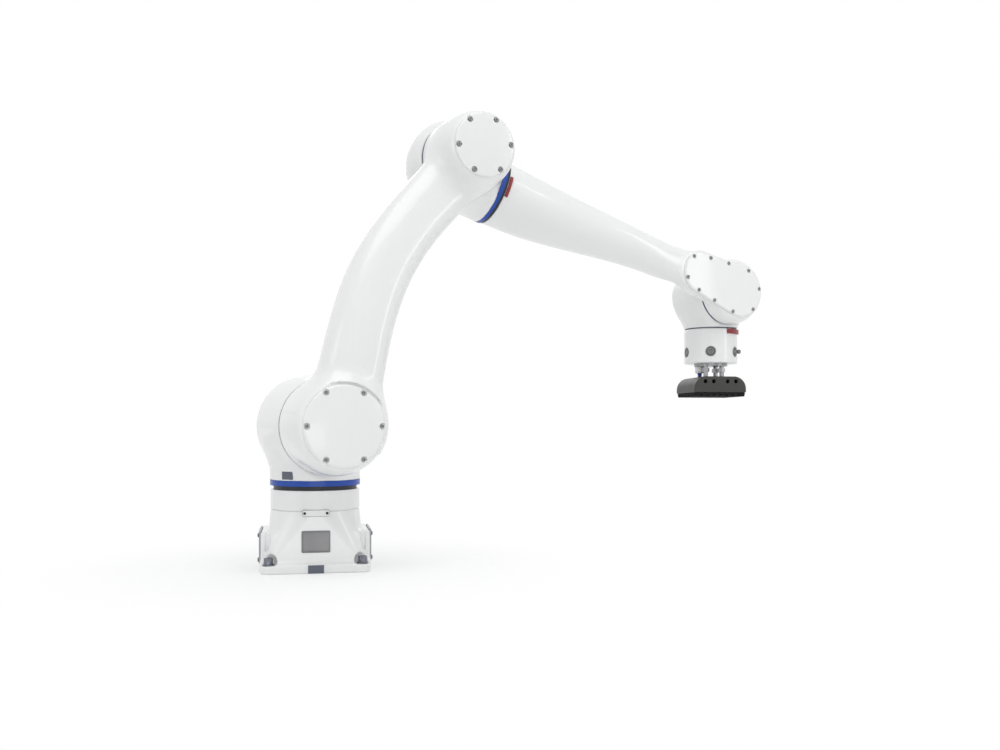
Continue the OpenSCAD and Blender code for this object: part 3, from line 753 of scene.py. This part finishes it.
def forearm_field(s, p):
    """Tube of ellipses that thins and moves out to the front, run together with a flat end and its hub.

    The flat end is a thin plate of two lobes over a thicker core of the same outline.
    """
    fillet, core_fillet, hub_fillet, hub_reach, hub_inset, back_room = 20, 10, 8, 32, 6.5, 19
    lobe_x = s.fore_len + s.paddle_ahead - s.lobe_pitch
    middle, half_flat = (s.paddle_front + s.paddle_back) / 2, (s.paddle_front - s.paddle_back) / 2
    x, t, z = to_front(p)
    radius = mix(s.fore_r, s.fore_tip_r, ease(x, s.fore_start, 0.89 * lobe_x))
    front = mix(s.fore_r, s.paddle_front, ease(x, 0.31 * lobe_x, 0.83 * lobe_x))
    half = mix(radius, half_flat, ease(x, 0.83 * lobe_x, 0.97 * lobe_x))
    tube = (np.hypot((t - front + half) / half, z / radius) - 1) * np.minimum(half, radius)
    tube = np.maximum(tube, x - lobe_x)
    rim = np.abs(t - (s.paddle_front - s.plate_t / 2)) - s.plate_t / 2
    flat = keep_both(two_lobes(x, z, s, 0), rim, 6)
    core = keep_both(two_lobes(x, z, s, -s.core_inset), np.abs(t - middle) - half_flat, 6)
    flat = run_together(flat, core, core_fillet)
    hub_r, start = s.paddle_r - hub_inset, s.paddle_front - hub_reach
    hub = domed_end(np.hypot(x - s.fore_len, z), t, hub_r, s.wrist_r - hub_r, start, hub_reach)
    shape = run_together(tube, run_together(flat, hub, hub_fillet), fillet)
    shape = keep_both(shape, np.minimum(s.paddle_back - t, x - lobe_x + back_room), 2)
    shape = keep_both(shape, t - s.paddle_front, 3)
    return keep_both(shape, s.fore_start - x, END_EDGE)


def wrist_field(s, tool_r, p):
    """Drum along the wrist axis with a rounded back edge, run together with the neck of the tool seam."""
    fillet, edge = 34, s.wrist_edge
    x, t, z = to_front(p)
    drum = domed_end(np.hypot(x, z), -t, s.wrist_r - edge, edge, s.wrist_back - edge, edge)
    neck = np.maximum(np.hypot(x, t) - tool_r, z)
    shape = run_together(drum, neck, fillet)
    shape = keep_both(keep_both(shape, t - s.wrist_half, 2), -t - s.wrist_back, 2)
    return keep_both(shape, -s.tool_seam - z, END_EDGE)


def port_directions(s):
    """Unit vectors of the front, left and right port in the tool's frame."""
    turns = s.port_turn + s.port_step * np.array((0, -1, 1))
    return np.stack([np.cos(turns), np.sin(turns), np.zeros(3)], -1)


def tool_field(s, p):
    """Round housing with rounded rims and three port bores."""
    middle, half = -(s.tool_top + s.tool_bottom) / 2, (s.tool_bottom - s.tool_top) / 2
    x, y, z = p[..., 0], p[..., 1], p[..., 2]
    shape = keep_both(np.hypot(x, y) - s.tool_r, np.abs(z - middle) - half, 5)
    for out in port_directions(s):
        ahead = x * out[0] + y * out[1]
        aside = np.hypot(x * out[1] - y * out[0], z + s.port_drop)
        shape = keep_both(shape, np.minimum(s.port_r - aside, ahead - s.tool_r + s.port_depth), 1.5)
    return shape


def gripper_field(s, p):
    """Square block with two rounded upper edges and four air holes in its front."""
    hole_r, hole_drop, hole_depth = 5.7, 15, 24
    low, half, edge = -s.grip_top - s.grip_h, s.grip_w / 2, s.grip_round
    x, y, z = p[..., 0], p[..., 1], p[..., 2]
    arch = domed_end(np.abs(x), z, half - edge, edge, -s.grip_top - edge, edge)
    shape = keep_both(keep_both(arch, np.abs(y) - half, 4), low - z, 2)
    for hole in np.array((-0.29, -0.13, 0.14, 0.3)) * s.grip_w:
        bore = hole_r - np.hypot(x - hole, z + s.grip_top + hole_drop)
        shape = keep_both(shape, np.minimum(bore, hole_depth - half - y), 1)
    return shape


def foam_field(s, p):
    """Foam slab with soft edges, a pebbled skin, and rows of suction openings in its underside.

    The pebbles are a small wave along each axis; the openings repeat every pitch both ways.
    """
    pitch, opening_r, opening_depth, pebble = 19.5, 4.2, 7, 0.16
    top, half = -s.grip_top - s.grip_h, s.grip_w / 2 - 2
    x, y, z = p[..., 0], p[..., 1], p[..., 2]
    slab = rounded_box(p, (0, 0, top - s.foam_t / 2), (half, half, s.foam_t / 2), 3)
    pebbles = np.sin(1.9 * x + 0.7 * z) * np.sin(1.7 * y - 0.6 * x) * np.sin(1.8 * z + 0.5 * y)
    u, v = (x + pitch / 2) % pitch - pitch / 2, (y + pitch / 2) % pitch - pitch / 2
    opening = np.maximum(np.hypot(u, v) - opening_r, z - top + s.foam_t - opening_depth)
    return keep_both(slab + pebble * pebbles + pebble, -opening, 1.2)


def round_cover_field(radius, thick, cover, p):
    """Round cover: a dome that rises to the full thickness, a slanted rim, and a recess for each screw."""
    x, t, z = to_front(p)
    r = np.hypot(x, z)
    dome = t - thick + cover.rise * (r / radius) ** 2
    slant = (r - radius + t - cover.wall) * math.sqrt(0.5)
    shape = np.maximum(keep_both(keep_both(dome, slant, 2.5), r - radius, 1.5), -t)
    for u, v in cover.screws:
        recess = np.minimum(ROUND_RECESS_R - np.hypot(x - u, z - v), t - cover.floor)
        shape = keep_both(shape, recess, 1.2)
    return shape


def long_cover_field(s, p):
    """Plate over the forearm's flat end, with a rounded rim and a recess for each screw."""
    inset, rim = 3, 7
    low, high = s.paddle_front, s.paddle_front + s.side_cover_t
    x, t, z = to_front(p)
    shape = np.maximum(keep_both(two_lobes(x, z, s, -inset), t - high, rim), low - t)
    for u, v in long_cover_screws(s):
        recess = np.minimum(LONG_RECESS_R - np.hypot(x - u, z - v), t - high + LONG_RECESS_DEPTH)
        shape = keep_both(shape, recess, 1)
    return shape


# Places and profiles of the small parts


def hexagon(radius, turn_degrees):
    """Six points on a circle in a joint's X-Z plane."""
    a = math.radians(turn_degrees) + np.arange(6) * np.pi / 3
    return np.stack([radius * np.cos(a), radius * np.sin(a)], -1)


def long_cover_screws(s):
    """Ten points inside the rim of the long cover: four round each lobe and one on each straight run."""
    inset = 10.5
    end = s.fore_len + s.paddle_ahead
    middle, rise = end - s.lobe_pitch / 2, (s.paddle_r + s.lobe_r) / 2 - inset
    points = [np.array(((middle + 6, rise), (middle - 7, -rise)))]
    for x, r, turns in (
        (end, s.paddle_r - inset, (-97, -31, 27, 84)),
        (end - s.lobe_pitch, s.lobe_r - inset, (74, 141, 217, 276)),
    ):
        a = np.radians(turns)
        points.append(np.stack([x + r * np.cos(a), r * np.sin(a)], -1))
    return np.concatenate(points)


# Round covers: how far the dome rises, the height of the rim's wall, the floor of a recess, and the screws
LEAN = math.degrees(math.acos(LINK[2]))
SHOULDER_COVER = SimpleNamespace(rise=3.0, wall=2.0, floor=2.5, screws=hexagon(89.5, LEAN))
ELBOW_COVER = SimpleNamespace(rise=6.4, wall=1.0, floor=0.8, screws=hexagon(70.5, LEAN + 5.4))
ROUND_RECESS_R = 7.4
LONG_RECESS_R = 5.6
LONG_RECESS_DEPTH = 4
# Seats of the screws over a cover's back: in the long cover and on the rear covers
LONG_SCREW_SEAT = 2.8
REAR_SCREW_SEAT = 6.0
# How far a screw is sunk in the floor of its recess
SUNK = 0.1
# Place of the air fitting beside the tool axis and over the gripper
FITTING_X = -35.5
FITTING_UP = 34

# Rows of radius, height, and six-sided or round
SOCKET_SCREW = (
    (4.6, 0, 0), (4.6, 3.4, 0), (4.2, 4.0, 0), (2.5, 4.0, 1), (2.3, 3.7, 1), (2.3, 1.6, 1), (0.4, 1.3, 0),
)
PAN_SCREW = (
    (5.5, 0, 0), (5.5, 1.6, 0), (4.6, 3.0, 0), (2.6, 3.6, 0), (2.0, 3.6, 1), (1.9, 1.8, 1), (0.3, 1.5, 0),
)
ANCHOR_BOLT = (
    (14.0, 0, 0), (14.0, 2.2, 0), (13.5, 2.7, 0), (10.6, 2.7, 0), (10.6, 16.2, 0), (9.8, 17.8, 0),
    (6.6, 17.8, 1), (6.4, 17.2, 1), (6.4, 9.6, 1), (0.8, 8.8, 0),
)
PORT_FACE = (
    (14.8, 0, 0), (14.8, 9.2, 0), (14.2, 10.0, 0), (12.4, 10.0, 0), (12.0, 9.4, 0), (12.0, 6.6, 0),
    (9.2, 6.6, 0), (8.8, 7.0, 0), (8.8, 11.4, 0), (8.2, 12.0, 0), (5.2, 12.0, 1), (5.0, 11.6, 1),
    (5.0, 7.6, 1), (0.6, 7.4, 0),
)
PORT_STUB = (
    (6.6, 7.0, 0), (6.6, 14.4, 0), (5.4, 15.0, 0), (5.4, 18.2, 0), (6.3, 18.8, 0), (6.3, 24.4, 0),
    (5.6, 25.2, 0), (3.4, 25.2, 0), (3.2, 24.6, 0), (3.2, 20.0, 0), (0.5, 19.8, 0),
)
AIR_FITTING = (
    (8.0, 0, 0), (13.0, 0, 0), (13.8, 0.8, 0), (13.8, 19.4, 0), (13.0, 20.4, 0), (8.4, 21.6, 0),
    (0.6, 21.6, 0),
)
AIR_STEM = (
    (6.4, 21.0, 0), (6.4, 24.6, 0), (5.8, 25.4, 0), (4.2, 25.4, 0), (4.0, 26.0, 0), (4.0, 35.0, 0),
    (0.4, 35.0, 0),
)


def tool_frame(s):
    """Frame of the tool: the wrist's, turned about the tool axis."""
    c, n = math.cos(s.turn), math.sin(s.turn)
    return (WRIST, np.array((c * ALONG + n * ACROSS, c * ACROSS - n * ALONG, UP)))


def box_mm(node):
    """Lowest and highest corner of a CAD node, in millimetres."""
    return [np.array(corner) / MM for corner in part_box(node)]


# Operators


class ROBOT_ARM_OT_cad_finishes(bpy.types.Operator):
    """Give every CAD node the finish of its material slot, or its own"""

    bl_idname = "robot_arm.cad_finishes"
    bl_label = "CAD Finishes"

    def execute(self, context):
        # The thin seam rings get the darkened blue, a painted shade of their grooves.
        own = {
            "shoulder_ring": "seam_ring", "elbow_ring": "seam_ring", "wrist_ring": "seam_ring",
            "side_panel_left": "light_panel", "side_panel_right": "light_panel", "tool_seal": "grey_panel",
        }
        for part in frame["record"]["subparts"]:
            mesh = frame["nodes"][part["node"]].data
            mesh.materials.clear()
            mesh.materials.append(finish(own.get(part["node"], part["material_slot"])))
        return {"FINISHED"}


class ROBOT_ARM_OT_base_casting(bpy.types.Operator):
    """Make the base casting with its bolt pockets"""

    bl_idname = "robot_arm.base_casting"
    bl_label = "Base Casting"

    def execute(self, context):
        s = in_mm(context.scene.arm_base)
        side = s.box_w + 4
        casting(
            "base_casting_skin", partial(base_field, s), (-side, -side, 0), (side, side, s.neck_z),
            cell=2.9, place=BASE_FRAME, body="base", node="base_casting",
        )
        return {"FINISHED"}


class ROBOT_ARM_OT_swivel_housing(bpy.types.Operator):
    """Make the swivel with its shoulder drum"""

    bl_idname = "robot_arm.swivel_housing"
    bl_label = "Swivel Housing"

    def execute(self, context):
        s = in_mm(context.scene.arm_sizes)
        r = s.shoulder_back_r + 10
        casting(
            "swivel_housing_skin", partial(swivel_field, s),
            (-r, -s.shoulder_seam, s.swivel_z - SHOULDER[2]), (r, s.shoulder_back + 4, r),
            cell=3.0, place=SWIVEL_FRAME, body="swivel", node="swivel_housing",
        )
        return {"FINISHED"}


class ROBOT_ARM_OT_lower_arm(bpy.types.Operator):
    """Make the bowed lower arm with its two hubs"""

    bl_idname = "robot_arm.lower_arm"
    bl_label = "Lower Arm"

    def execute(self, context):
        s = in_mm(context.scene.arm_sizes)
        casting(
            "lower_arm_skin", partial(lower_arm_field, s),
            (-s.upper_bow - 100, -s.shoulder_seat - 12, -s.shoulder_r - 10),
            (s.shoulder_r + 12, -s.elbow_seam, LINK_LEN + s.elbow_r + 10),
            cell=3.6, place=LOWER_ARM_FRAME, body="lower_arm", node="lower_arm_casting",
        )
        return {"FINISHED"}


class ROBOT_ARM_OT_elbow_housing(bpy.types.Operator):
    """Make the ball-shaped elbow housing with its neck"""

    bl_idname = "robot_arm.elbow_housing"
    bl_label = "Elbow Housing"

    def execute(self, context):
        s = in_mm(context.scene.arm_sizes)
        r = s.elbow_swell + 8
        casting(
            "elbow_housing_skin", partial(elbow_field, s),
            (-r, -s.roll_r - 8, -r), (s.roll_x, s.roll_r + 8, r),
            cell=2.9, place=FOREARM_FRAME, body="elbow", node="elbow_housing",
        )
        return {"FINISHED"}


class ROBOT_ARM_OT_forearm(bpy.types.Operator):
    """Make the tapering forearm with its flat end"""

    bl_idname = "robot_arm.forearm"
    bl_label = "Forearm"

    def execute(self, context):
        s = in_mm(context.scene.arm_sizes)
        r = s.wrist_r + 4
        casting(
            "forearm_skin", partial(forearm_field, s), (s.fore_start, -s.paddle_front, -r),
            (s.fore_len + r, s.fore_r + 6, r),
            cell=3.3, place=FOREARM_FRAME, body="forearm", node="forearm_casting",
        )
        return {"FINISHED"}


class ROBOT_ARM_OT_wrist_housing(bpy.types.Operator):
    """Make the wrist drum with its neck"""

    bl_idname = "robot_arm.wrist_housing"
    bl_label = "Wrist Housing"

    def execute(self, context):
        s, tool = in_mm(context.scene.arm_sizes), in_mm(context.scene.arm_tool)
        r = s.wrist_r + 8
        casting(
            "wrist_housing_skin", partial(wrist_field, s, tool.tool_r),
            (-r, -s.wrist_half, -s.tool_seam), (r, s.wrist_back, r),
            cell=2.6, place=WRIST_FRAME, body="wrist", node="wrist_housing",
        )
        return {"FINISHED"}


class ROBOT_ARM_OT_tool_housing(bpy.types.Operator):
    """Make the tool housing and the faces of its three ports"""

    bl_idname = "robot_arm.tool_housing"
    bl_label = "Tool Housing"

    def execute(self, context):
        s = in_mm(context.scene.arm_tool)
        place, r = tool_frame(s), s.tool_r
        casting(
            "tool_housing_skin", partial(tool_field, s), (-r, -r, -s.tool_bottom), (r, r, -s.tool_top),
            cell=2.2, place=place, body="tool", node="tool_housing",
        )
        face, stub = turned(PORT_FACE, 36), turned(PORT_STUB, 36)
        shapes = {"front": [face], "left": [face], "right": [face, stub]}
        for (name, parts), out in zip(shapes.items(), port_directions(s)):
            at = out * (r - s.port_depth) - np.array((0, 0, s.port_drop))
            fixed("port_face_" + name, parts, [facing(place, at, out)], "port", "tool", "port_" + name)
        return {"FINISHED"}


class ROBOT_ARM_OT_gripper(bpy.types.Operator):
    """Make the gripper block with its air holes, its foam pad and its air fitting"""

    bl_idname = "robot_arm.gripper"
    bl_label = "Gripper"

    def execute(self, context):
        s = in_mm(context.scene.arm_tool)
        half, low = s.grip_w / 2, -s.grip_top - s.grip_h
        place = tool_frame(s)
        casting(
            "gripper_block_skin", partial(gripper_field, s), (-half, -half, low), (half, half, -s.grip_top),
            cell=1.8, place=place, body="tool", node="gripper_body", look="dark_gripper",
        )
        pad = casting(
            "gripper_foam_skin", partial(foam_field, s), (-half, -half, low - s.foam_t), (half, half, low),
            cell=1.5, place=place, body="tool", node="gripper_pad", look="foam",
        )
        at = facing(place, (FITTING_X, 0, -s.grip_top + FITTING_UP), (0, 0, -1))
        fixed("air_fitting", [turned(AIR_FITTING, 36)], [at], "white_paint", "tool")
        fixed("air_stem", [turned(AIR_STEM, 36)], [at], "blue_ring", "tool")
        return {"FINISHED"}


class ROBOT_ARM_OT_covers(bpy.types.Operator):
    """Make the round covers of shoulder and elbow and the long cover of the wrist"""

    bl_idname = "robot_arm.covers"
    bl_label = "Covers"

    def execute(self, context):
        s = in_mm(context.scene.arm_sizes)
        for name, centre, seat, r, cover in (
            ("shoulder_front_cover", SHOULDER, s.shoulder_seat, s.shoulder_cover_r, SHOULDER_COVER),
            ("elbow_front_cover", ELBOW, s.elbow_seat, s.elbow_cover_r, ELBOW_COVER),
        ):
            place = (centre - seat * ACROSS, LOWER_ARM_FRAME[1])
            casting(
                name + "_skin", partial(round_cover_field, r, s.cover_t, cover),
                (-r, -s.cover_t, -r), (r, 0, r),
                cell=1.3, place=place, body="lower_arm", node=name,
            )
        end, r = s.fore_len + s.paddle_ahead, s.paddle_r
        casting(
            "wrist_side_cover_skin", partial(long_cover_field, s),
            (end - s.lobe_pitch - s.lobe_r, -s.paddle_front - s.side_cover_t, -r),
            (end + r, -s.paddle_front, r),
            cell=1.6, place=FOREARM_FRAME, body="forearm", node="wrist_side_cover",
        )
        return {"FINISHED"}


class ROBOT_ARM_OT_cover_screws(bpy.types.Operator):
    """Set a socket screw in every recess of the covers, and on the rear covers"""

    bl_idname = "robot_arm.cover_screws"
    bl_label = "Cover Screws"

    def execute(self, context):
        s = in_mm(context.scene.arm_sizes)
        front, back = -1, 1
        shoulder_y = s.shoulder_seat + SHOULDER_COVER.floor - SUNK
        elbow_y = s.elbow_seat + ELBOW_COVER.floor - SUNK
        screw = turned(SOCKET_SCREW, 24)
        for name, body, place, side, y, spots in (
            ("shoulder_cover", "lower_arm", LOWER_ARM_FRAME, front, shoulder_y, SHOULDER_COVER.screws),
            ("elbow_cover", "lower_arm", LOWER_ARM_FRAME, front, elbow_y, ELBOW_COVER.screws + (0, LINK_LEN)),
            ("wrist_cover", "forearm", FOREARM_FRAME, front, s.paddle_front + LONG_SCREW_SEAT,
             long_cover_screws(s)),
            ("shoulder_rear", "swivel", SWIVEL_FRAME, back, s.shoulder_back + REAR_SCREW_SEAT,
             hexagon(s.shoulder_cover_r - 18, 0)),
            ("elbow_rear", "elbow", FOREARM_FRAME, back, s.elbow_back + REAR_SCREW_SEAT,
             hexagon(s.elbow_rear_r - 15, 18.6)),
            ("wrist_rear", "wrist", WRIST_FRAME, back, s.wrist_back + REAR_SCREW_SEAT,
             hexagon(s.wrist_r - s.wrist_edge - 13, 0)),
        ):
            places = [facing(place, (u, side * y, v), (0, side, 0)) for u, v in spots]
            fixed(name + "_screws", [screw], places, "screw", body)
        return {"FINISHED"}


class ROBOT_ARM_OT_base_fasteners(bpy.types.Operator):
    """Set the four anchor bolts, the panel screws and the screws of the small neck plate"""

    bl_idname = "robot_arm.base_fasteners"
    bl_label = "Base Fasteners"

    def execute(self, context):
        s = in_mm(context.scene.arm_base)
        corners = [(x * s.bolt_at, y * s.bolt_at, s.foot_t) for x in (-1, 1) for y in (-1, 1)]
        places = [facing(BASE_FRAME, spot, (0, 0, 1)) for spot in corners]
        fixed("anchor_bolts", [turned(ANCHOR_BOLT, 36)], places, "zinc", "base")
        points, quads, caps = turned(PAN_SCREW, 24)
        from_end, from_bottom, from_top = 9, 8, 10
        for side, name in ((-1, "left"), (1, "right")):
            low, high = box_mm("side_panel_" + name)
            x = low[0] if side < 0 else high[0]
            spots = [
                (x, y, z)
                for y in (low[1] + from_end, high[1] - from_end)
                for z in (low[2] + from_bottom, high[2] - from_top)
            ]
            places = [facing(BASE_FRAME, spot, (side, 0, 0)) for spot in spots]
            fixed("panel_screws_" + name, [(points, quads, caps)], places, "zinc", "base")
        low, high = box_mm("neck_cover_plate")
        plate_end, smaller = 4.5, 0.6
        spots = [(x, low[1], (low[2] + high[2]) / 2) for x in (low[0] + plate_end, high[0] - plate_end)]
        places = [facing(BASE_FRAME, spot, (0, -1, 0)) for spot in spots]
        fixed("neck_plate_screws", [(points * smaller, quads, caps)], places, "black_seal", "base")
        return {"FINISHED"}


class ROBOT_ARM_OT_plates(bpy.types.Operator):
    """Fix the bare metal plate and the gasket on the base, and the small dark plate on the swivel"""

    bl_idname = "robot_arm.plates"
    bl_label = "Bare Plates"

    def execute(self, context):
        s = in_mm(context.scene.arm_base)
        lean = (s.body_w / 2 - s.neck_r) / (s.neck_z - s.foot_t)
        y = -s.body_w / 2 + lean * (s.plate_z - s.foot_t) - SUNK
        place = facing(BASE_FRAME, (0, y, s.plate_z), (0, -1, lean))
        plate = plate_rings(s.plate_w, s.plate_h, thick=1.2, corner=3)
        fixed("base_rating_plate", [plate], [place], "plate", "base")
        low, high = box_mm("neck_cover_plate")
        width, depth, height = high - low
        wider, lower = 1.6, 0.5
        gasket = plate_rings(width + wider, height + wider, thick=depth - lower, corner=2.5)
        place = facing(BASE_FRAME, (0, high[1], (low[2] + high[2]) / 2), (0, -1, 0))
        fixed("neck_plate_gasket", [gasket], [place], "grey_panel", "base")
        self.swivel_plate(in_mm(context.scene.arm_sizes))
        return {"FINISHED"}

    def swivel_plate(self, s):
        """Plate bent round the swivel, laid on by moving each point inwards by the field's value."""
        turn_to, above_foot, start_out, moves = math.radians(-127.6), 13, 30, 60
        points, quads, caps = plate_rings(33, 20, thick=0.9, corner=2)
        turn = turn_to + points[:, 0] / s.neck_r
        out = np.stack([np.cos(turn), np.sin(turn), np.zeros(len(turn))], -1)
        level = (s.swivel_z + above_foot + points[:, 1])[:, None] * UP
        r = np.full((len(turn), 1), s.neck_r + start_out)
        for _ in range(moves):
            r = r - swivel_field(s, (out * r + level - SHOULDER) @ SWIVEL_FRAME[1].T)[:, None]
        bent = out * (r + points[:, 2:]) + level
        new_piece("swivel_plate", bent * MM, quads.tolist() + caps.tolist(), "grey_panel", "swivel")


# Lamps: place and aim in metres, width and height in metres, and power in watts
LAMPS = {
    "top_softbox": ((0.1, -1.95, 4.6), (0.5, 0.1, 0.5), (4.2, 3.0), 68),
    "left_softbox": ((-2.9, -1.6, 1.2), (0.3, 0.0, 0.5), (1.4, 1.8), 9),
    "right_strip": ((2.9, -1.6, 1.5), (0.5, 0.0, 0.6), (0.4, 2.4), 10),
    "low_fill": ((0.3, -3.3, 0.2), (0.6, 0.0, 0.7), (2.4, 0.4), 6),
    "back_softbox": ((0.9, 2.8, 2.2), (0.5, 0.0, 0.6), (2.6, 1.6), 13),
}
WHITE = (1.0, 1.0, 1.0, 1.0)
FLOOR_DROP = 0.0006


def seen_white(tree):
    """Mask of the rays that meet plain white: 1 for those of the camera, of gloss and of glass, else 0."""
    path = new_node(tree, "ShaderNodeLightPath").outputs
    shown = math_node(tree, "MAXIMUM", path["Is Camera Ray"], path["Is Glossy Ray"])
    return math_node(tree, "MAXIMUM", shown, path["Is Transmission Ray"])


class ROBOT_ARM_OT_stage(bpy.types.Operator):
    """Set the pale floor, the soft lamps, the white world and the camera"""

    bl_idname = "robot_arm.stage"
    bl_label = "Stage"

    def execute(self, context):
        scene, s = context.scene, context.scene.arm_stage
        scene.view_settings.view_transform = "Standard"
        self.camera(scene, s)
        self.floor(scene, s)
        self.world(scene, s)
        for name, (place, aim, size, power) in LAMPS.items():
            lamp = bpy.data.lights.new(name, "AREA")
            lamp.shape = "RECTANGLE"
            lamp.size, lamp.size_y = size
            lamp.energy = power * s.light
            held = bpy.data.objects.new(name, lamp)
            held.location = place
            x, y, z = np.array(aim) - np.array(place)
            tilt = math.acos(-z / math.sqrt(x * x + y * y + z * z))
            held.rotation_euler = (tilt, 0, math.atan2(y, x) - math.pi / 2)
            scene.collection.objects.link(held)
        return {"FINISHED"}

    def camera(self, scene, s):
        """Level camera at the photograph's place, with the frame raised."""
        lens = bpy.data.cameras.new("camera")
        lens.lens, lens.sensor_width, lens.sensor_fit = s.lens, 36.0, "HORIZONTAL"
        lens.shift_y = s.shift
        camera = bpy.data.objects.new("camera", lens)
        camera.location = s.camera_place
        camera.rotation_euler = (math.pi / 2, 0, -s.camera_turn)
        scene.collection.objects.link(camera)
        scene.camera = camera

    def floor(self, scene, s):
        """Round floor of rings: pale and shaded near the foot, plain white further out where it is seen."""
        rings = [(r, -FLOOR_DROP, 0) for r in (s.floor_r, 3.0, 1.2, 0.5, 0.02)]
        points, quads, caps = turned(rings, 64)
        mesh = bpy.data.meshes.new("floor")
        mesh.from_pydata(points.tolist(), [], quads.tolist() + caps[1:].tolist())
        material = bpy.data.materials.new("pale_floor")
        material.use_nodes = True
        tree = material.node_tree
        paint = tree.nodes["Principled BSDF"]
        paint.inputs["Base Color"].default_value = (0.90, 0.90, 0.90, 1.0)
        paint.inputs["Roughness"].default_value = 0.9
        paint.inputs["Specular IOR Level"].default_value = 0.1
        place = new_node(tree, "ShaderNodeTexCoord").outputs["Object"]
        away = new_node(tree, "ShaderNodeVectorMath", place, operation="LENGTH").outputs["Value"]
        fade = new_node(
            tree, "ShaderNodeMapRange", interpolation_type="SMOOTHSTEP", Value=away,
            From_Min=0.15, From_Max=0.75, To_Min=0.5, To_Max=1.0,
        ).outputs["Result"]
        shown = math_node(tree, "MULTIPLY", fade, seen_white(tree))
        shine = new_node(tree, "ShaderNodeEmission", Color=WHITE, Strength=1.0).outputs[0]
        blend = new_node(tree, "ShaderNodeMixShader", shown, paint.outputs["BSDF"], shine).outputs[0]
        tree.links.new(blend, tree.nodes["Material Output"].inputs["Surface"])
        mesh.materials.append(material)
        ground = bpy.data.objects.new("floor", mesh)
        scene.collection.objects.link(ground)

    def world(self, scene, s):
        """World of plain white where it is seen, and a weaker light elsewhere, which grows upwards."""
        world = bpy.data.worlds.new("white_room")
        world.use_nodes = True
        tree = world.node_tree
        place = new_node(tree, "ShaderNodeTexCoord").outputs["Generated"]
        up = new_node(tree, "ShaderNodeSeparateXYZ", place).outputs["Z"]
        sky = new_node(
            tree, "ShaderNodeMapRange", interpolation_type="SMOOTHSTEP", Value=up,
            From_Min=0.04, From_Max=0.5, To_Min=0.78 * s.fill, To_Max=1.22 * s.fill,
        ).outputs["Result"]
        fill = tree.nodes["Background"]
        fill.inputs["Color"].default_value = (0.98, 0.99, 1.0, 1.0)
        tree.links.new(sky, fill.inputs["Strength"])
        white = new_node(tree, "ShaderNodeBackground", Color=WHITE, Strength=1.0).outputs[0]
        blend = new_node(tree, "ShaderNodeMixShader", seen_white(tree), fill.outputs[0], white).outputs[0]
        tree.links.new(blend, tree.nodes["World Output"].inputs["Surface"])
        scene.world = world


SETTINGS = {
    "arm_base": BaseSizes,
    "arm_sizes": ArmSizes,
    "arm_tool": ToolSizes,
    "arm_colours": FinishColours,
    "arm_stage": StageSizes,
}
OPERATORS = (
    ROBOT_ARM_OT_stage,
    ROBOT_ARM_OT_cad_finishes,
    ROBOT_ARM_OT_base_casting,
    ROBOT_ARM_OT_swivel_housing,
    ROBOT_ARM_OT_lower_arm,
    ROBOT_ARM_OT_elbow_housing,
    ROBOT_ARM_OT_forearm,
    ROBOT_ARM_OT_wrist_housing,
    ROBOT_ARM_OT_tool_housing,
    ROBOT_ARM_OT_gripper,
    ROBOT_ARM_OT_covers,
    ROBOT_ARM_OT_cover_screws,
    ROBOT_ARM_OT_base_fasteners,
    ROBOT_ARM_OT_plates,
)


class ROBOT_ARM_PT_panel(bpy.types.Panel):
    """Sidebar panel with every step and its settings"""

    bl_idname = "ROBOT_ARM_PT_panel"
    bl_label = "Robot Arm"
    bl_space_type = "VIEW_3D"
    bl_region_type = "UI"
    bl_category = "Robot Arm"

    def draw(self, context):
        for operator in OPERATORS:
            self.layout.operator(operator.bl_idname)
        for name, group in SETTINGS.items():
            box = self.layout.box()
            box.label(text=group.__doc__)
            for size in group.__annotations__:
                box.prop(getattr(context.scene, name), size)


CLASSES = (*SETTINGS.values(), *OPERATORS, ROBOT_ARM_PT_panel)


def register():
    """Registers every class and hangs the settings on the scene."""
    for cls in CLASSES:
        bpy.utils.register_class(cls)
    for name, group in SETTINGS.items():
        setattr(bpy.types.Scene, name, PointerProperty(type=group))


def unregister():
    """Takes the settings off the scene and unregisters every class."""
    for name in SETTINGS:
        delattr(bpy.types.Scene, name)
    for cls in reversed(CLASSES):
        bpy.utils.unregister_class(cls)


def main():
    register()
    for operator in OPERATORS:
        step = operator.bl_idname.partition(".")[2]
        getattr(bpy.ops.robot_arm, step)()


if __name__ == "__main__":
    main()
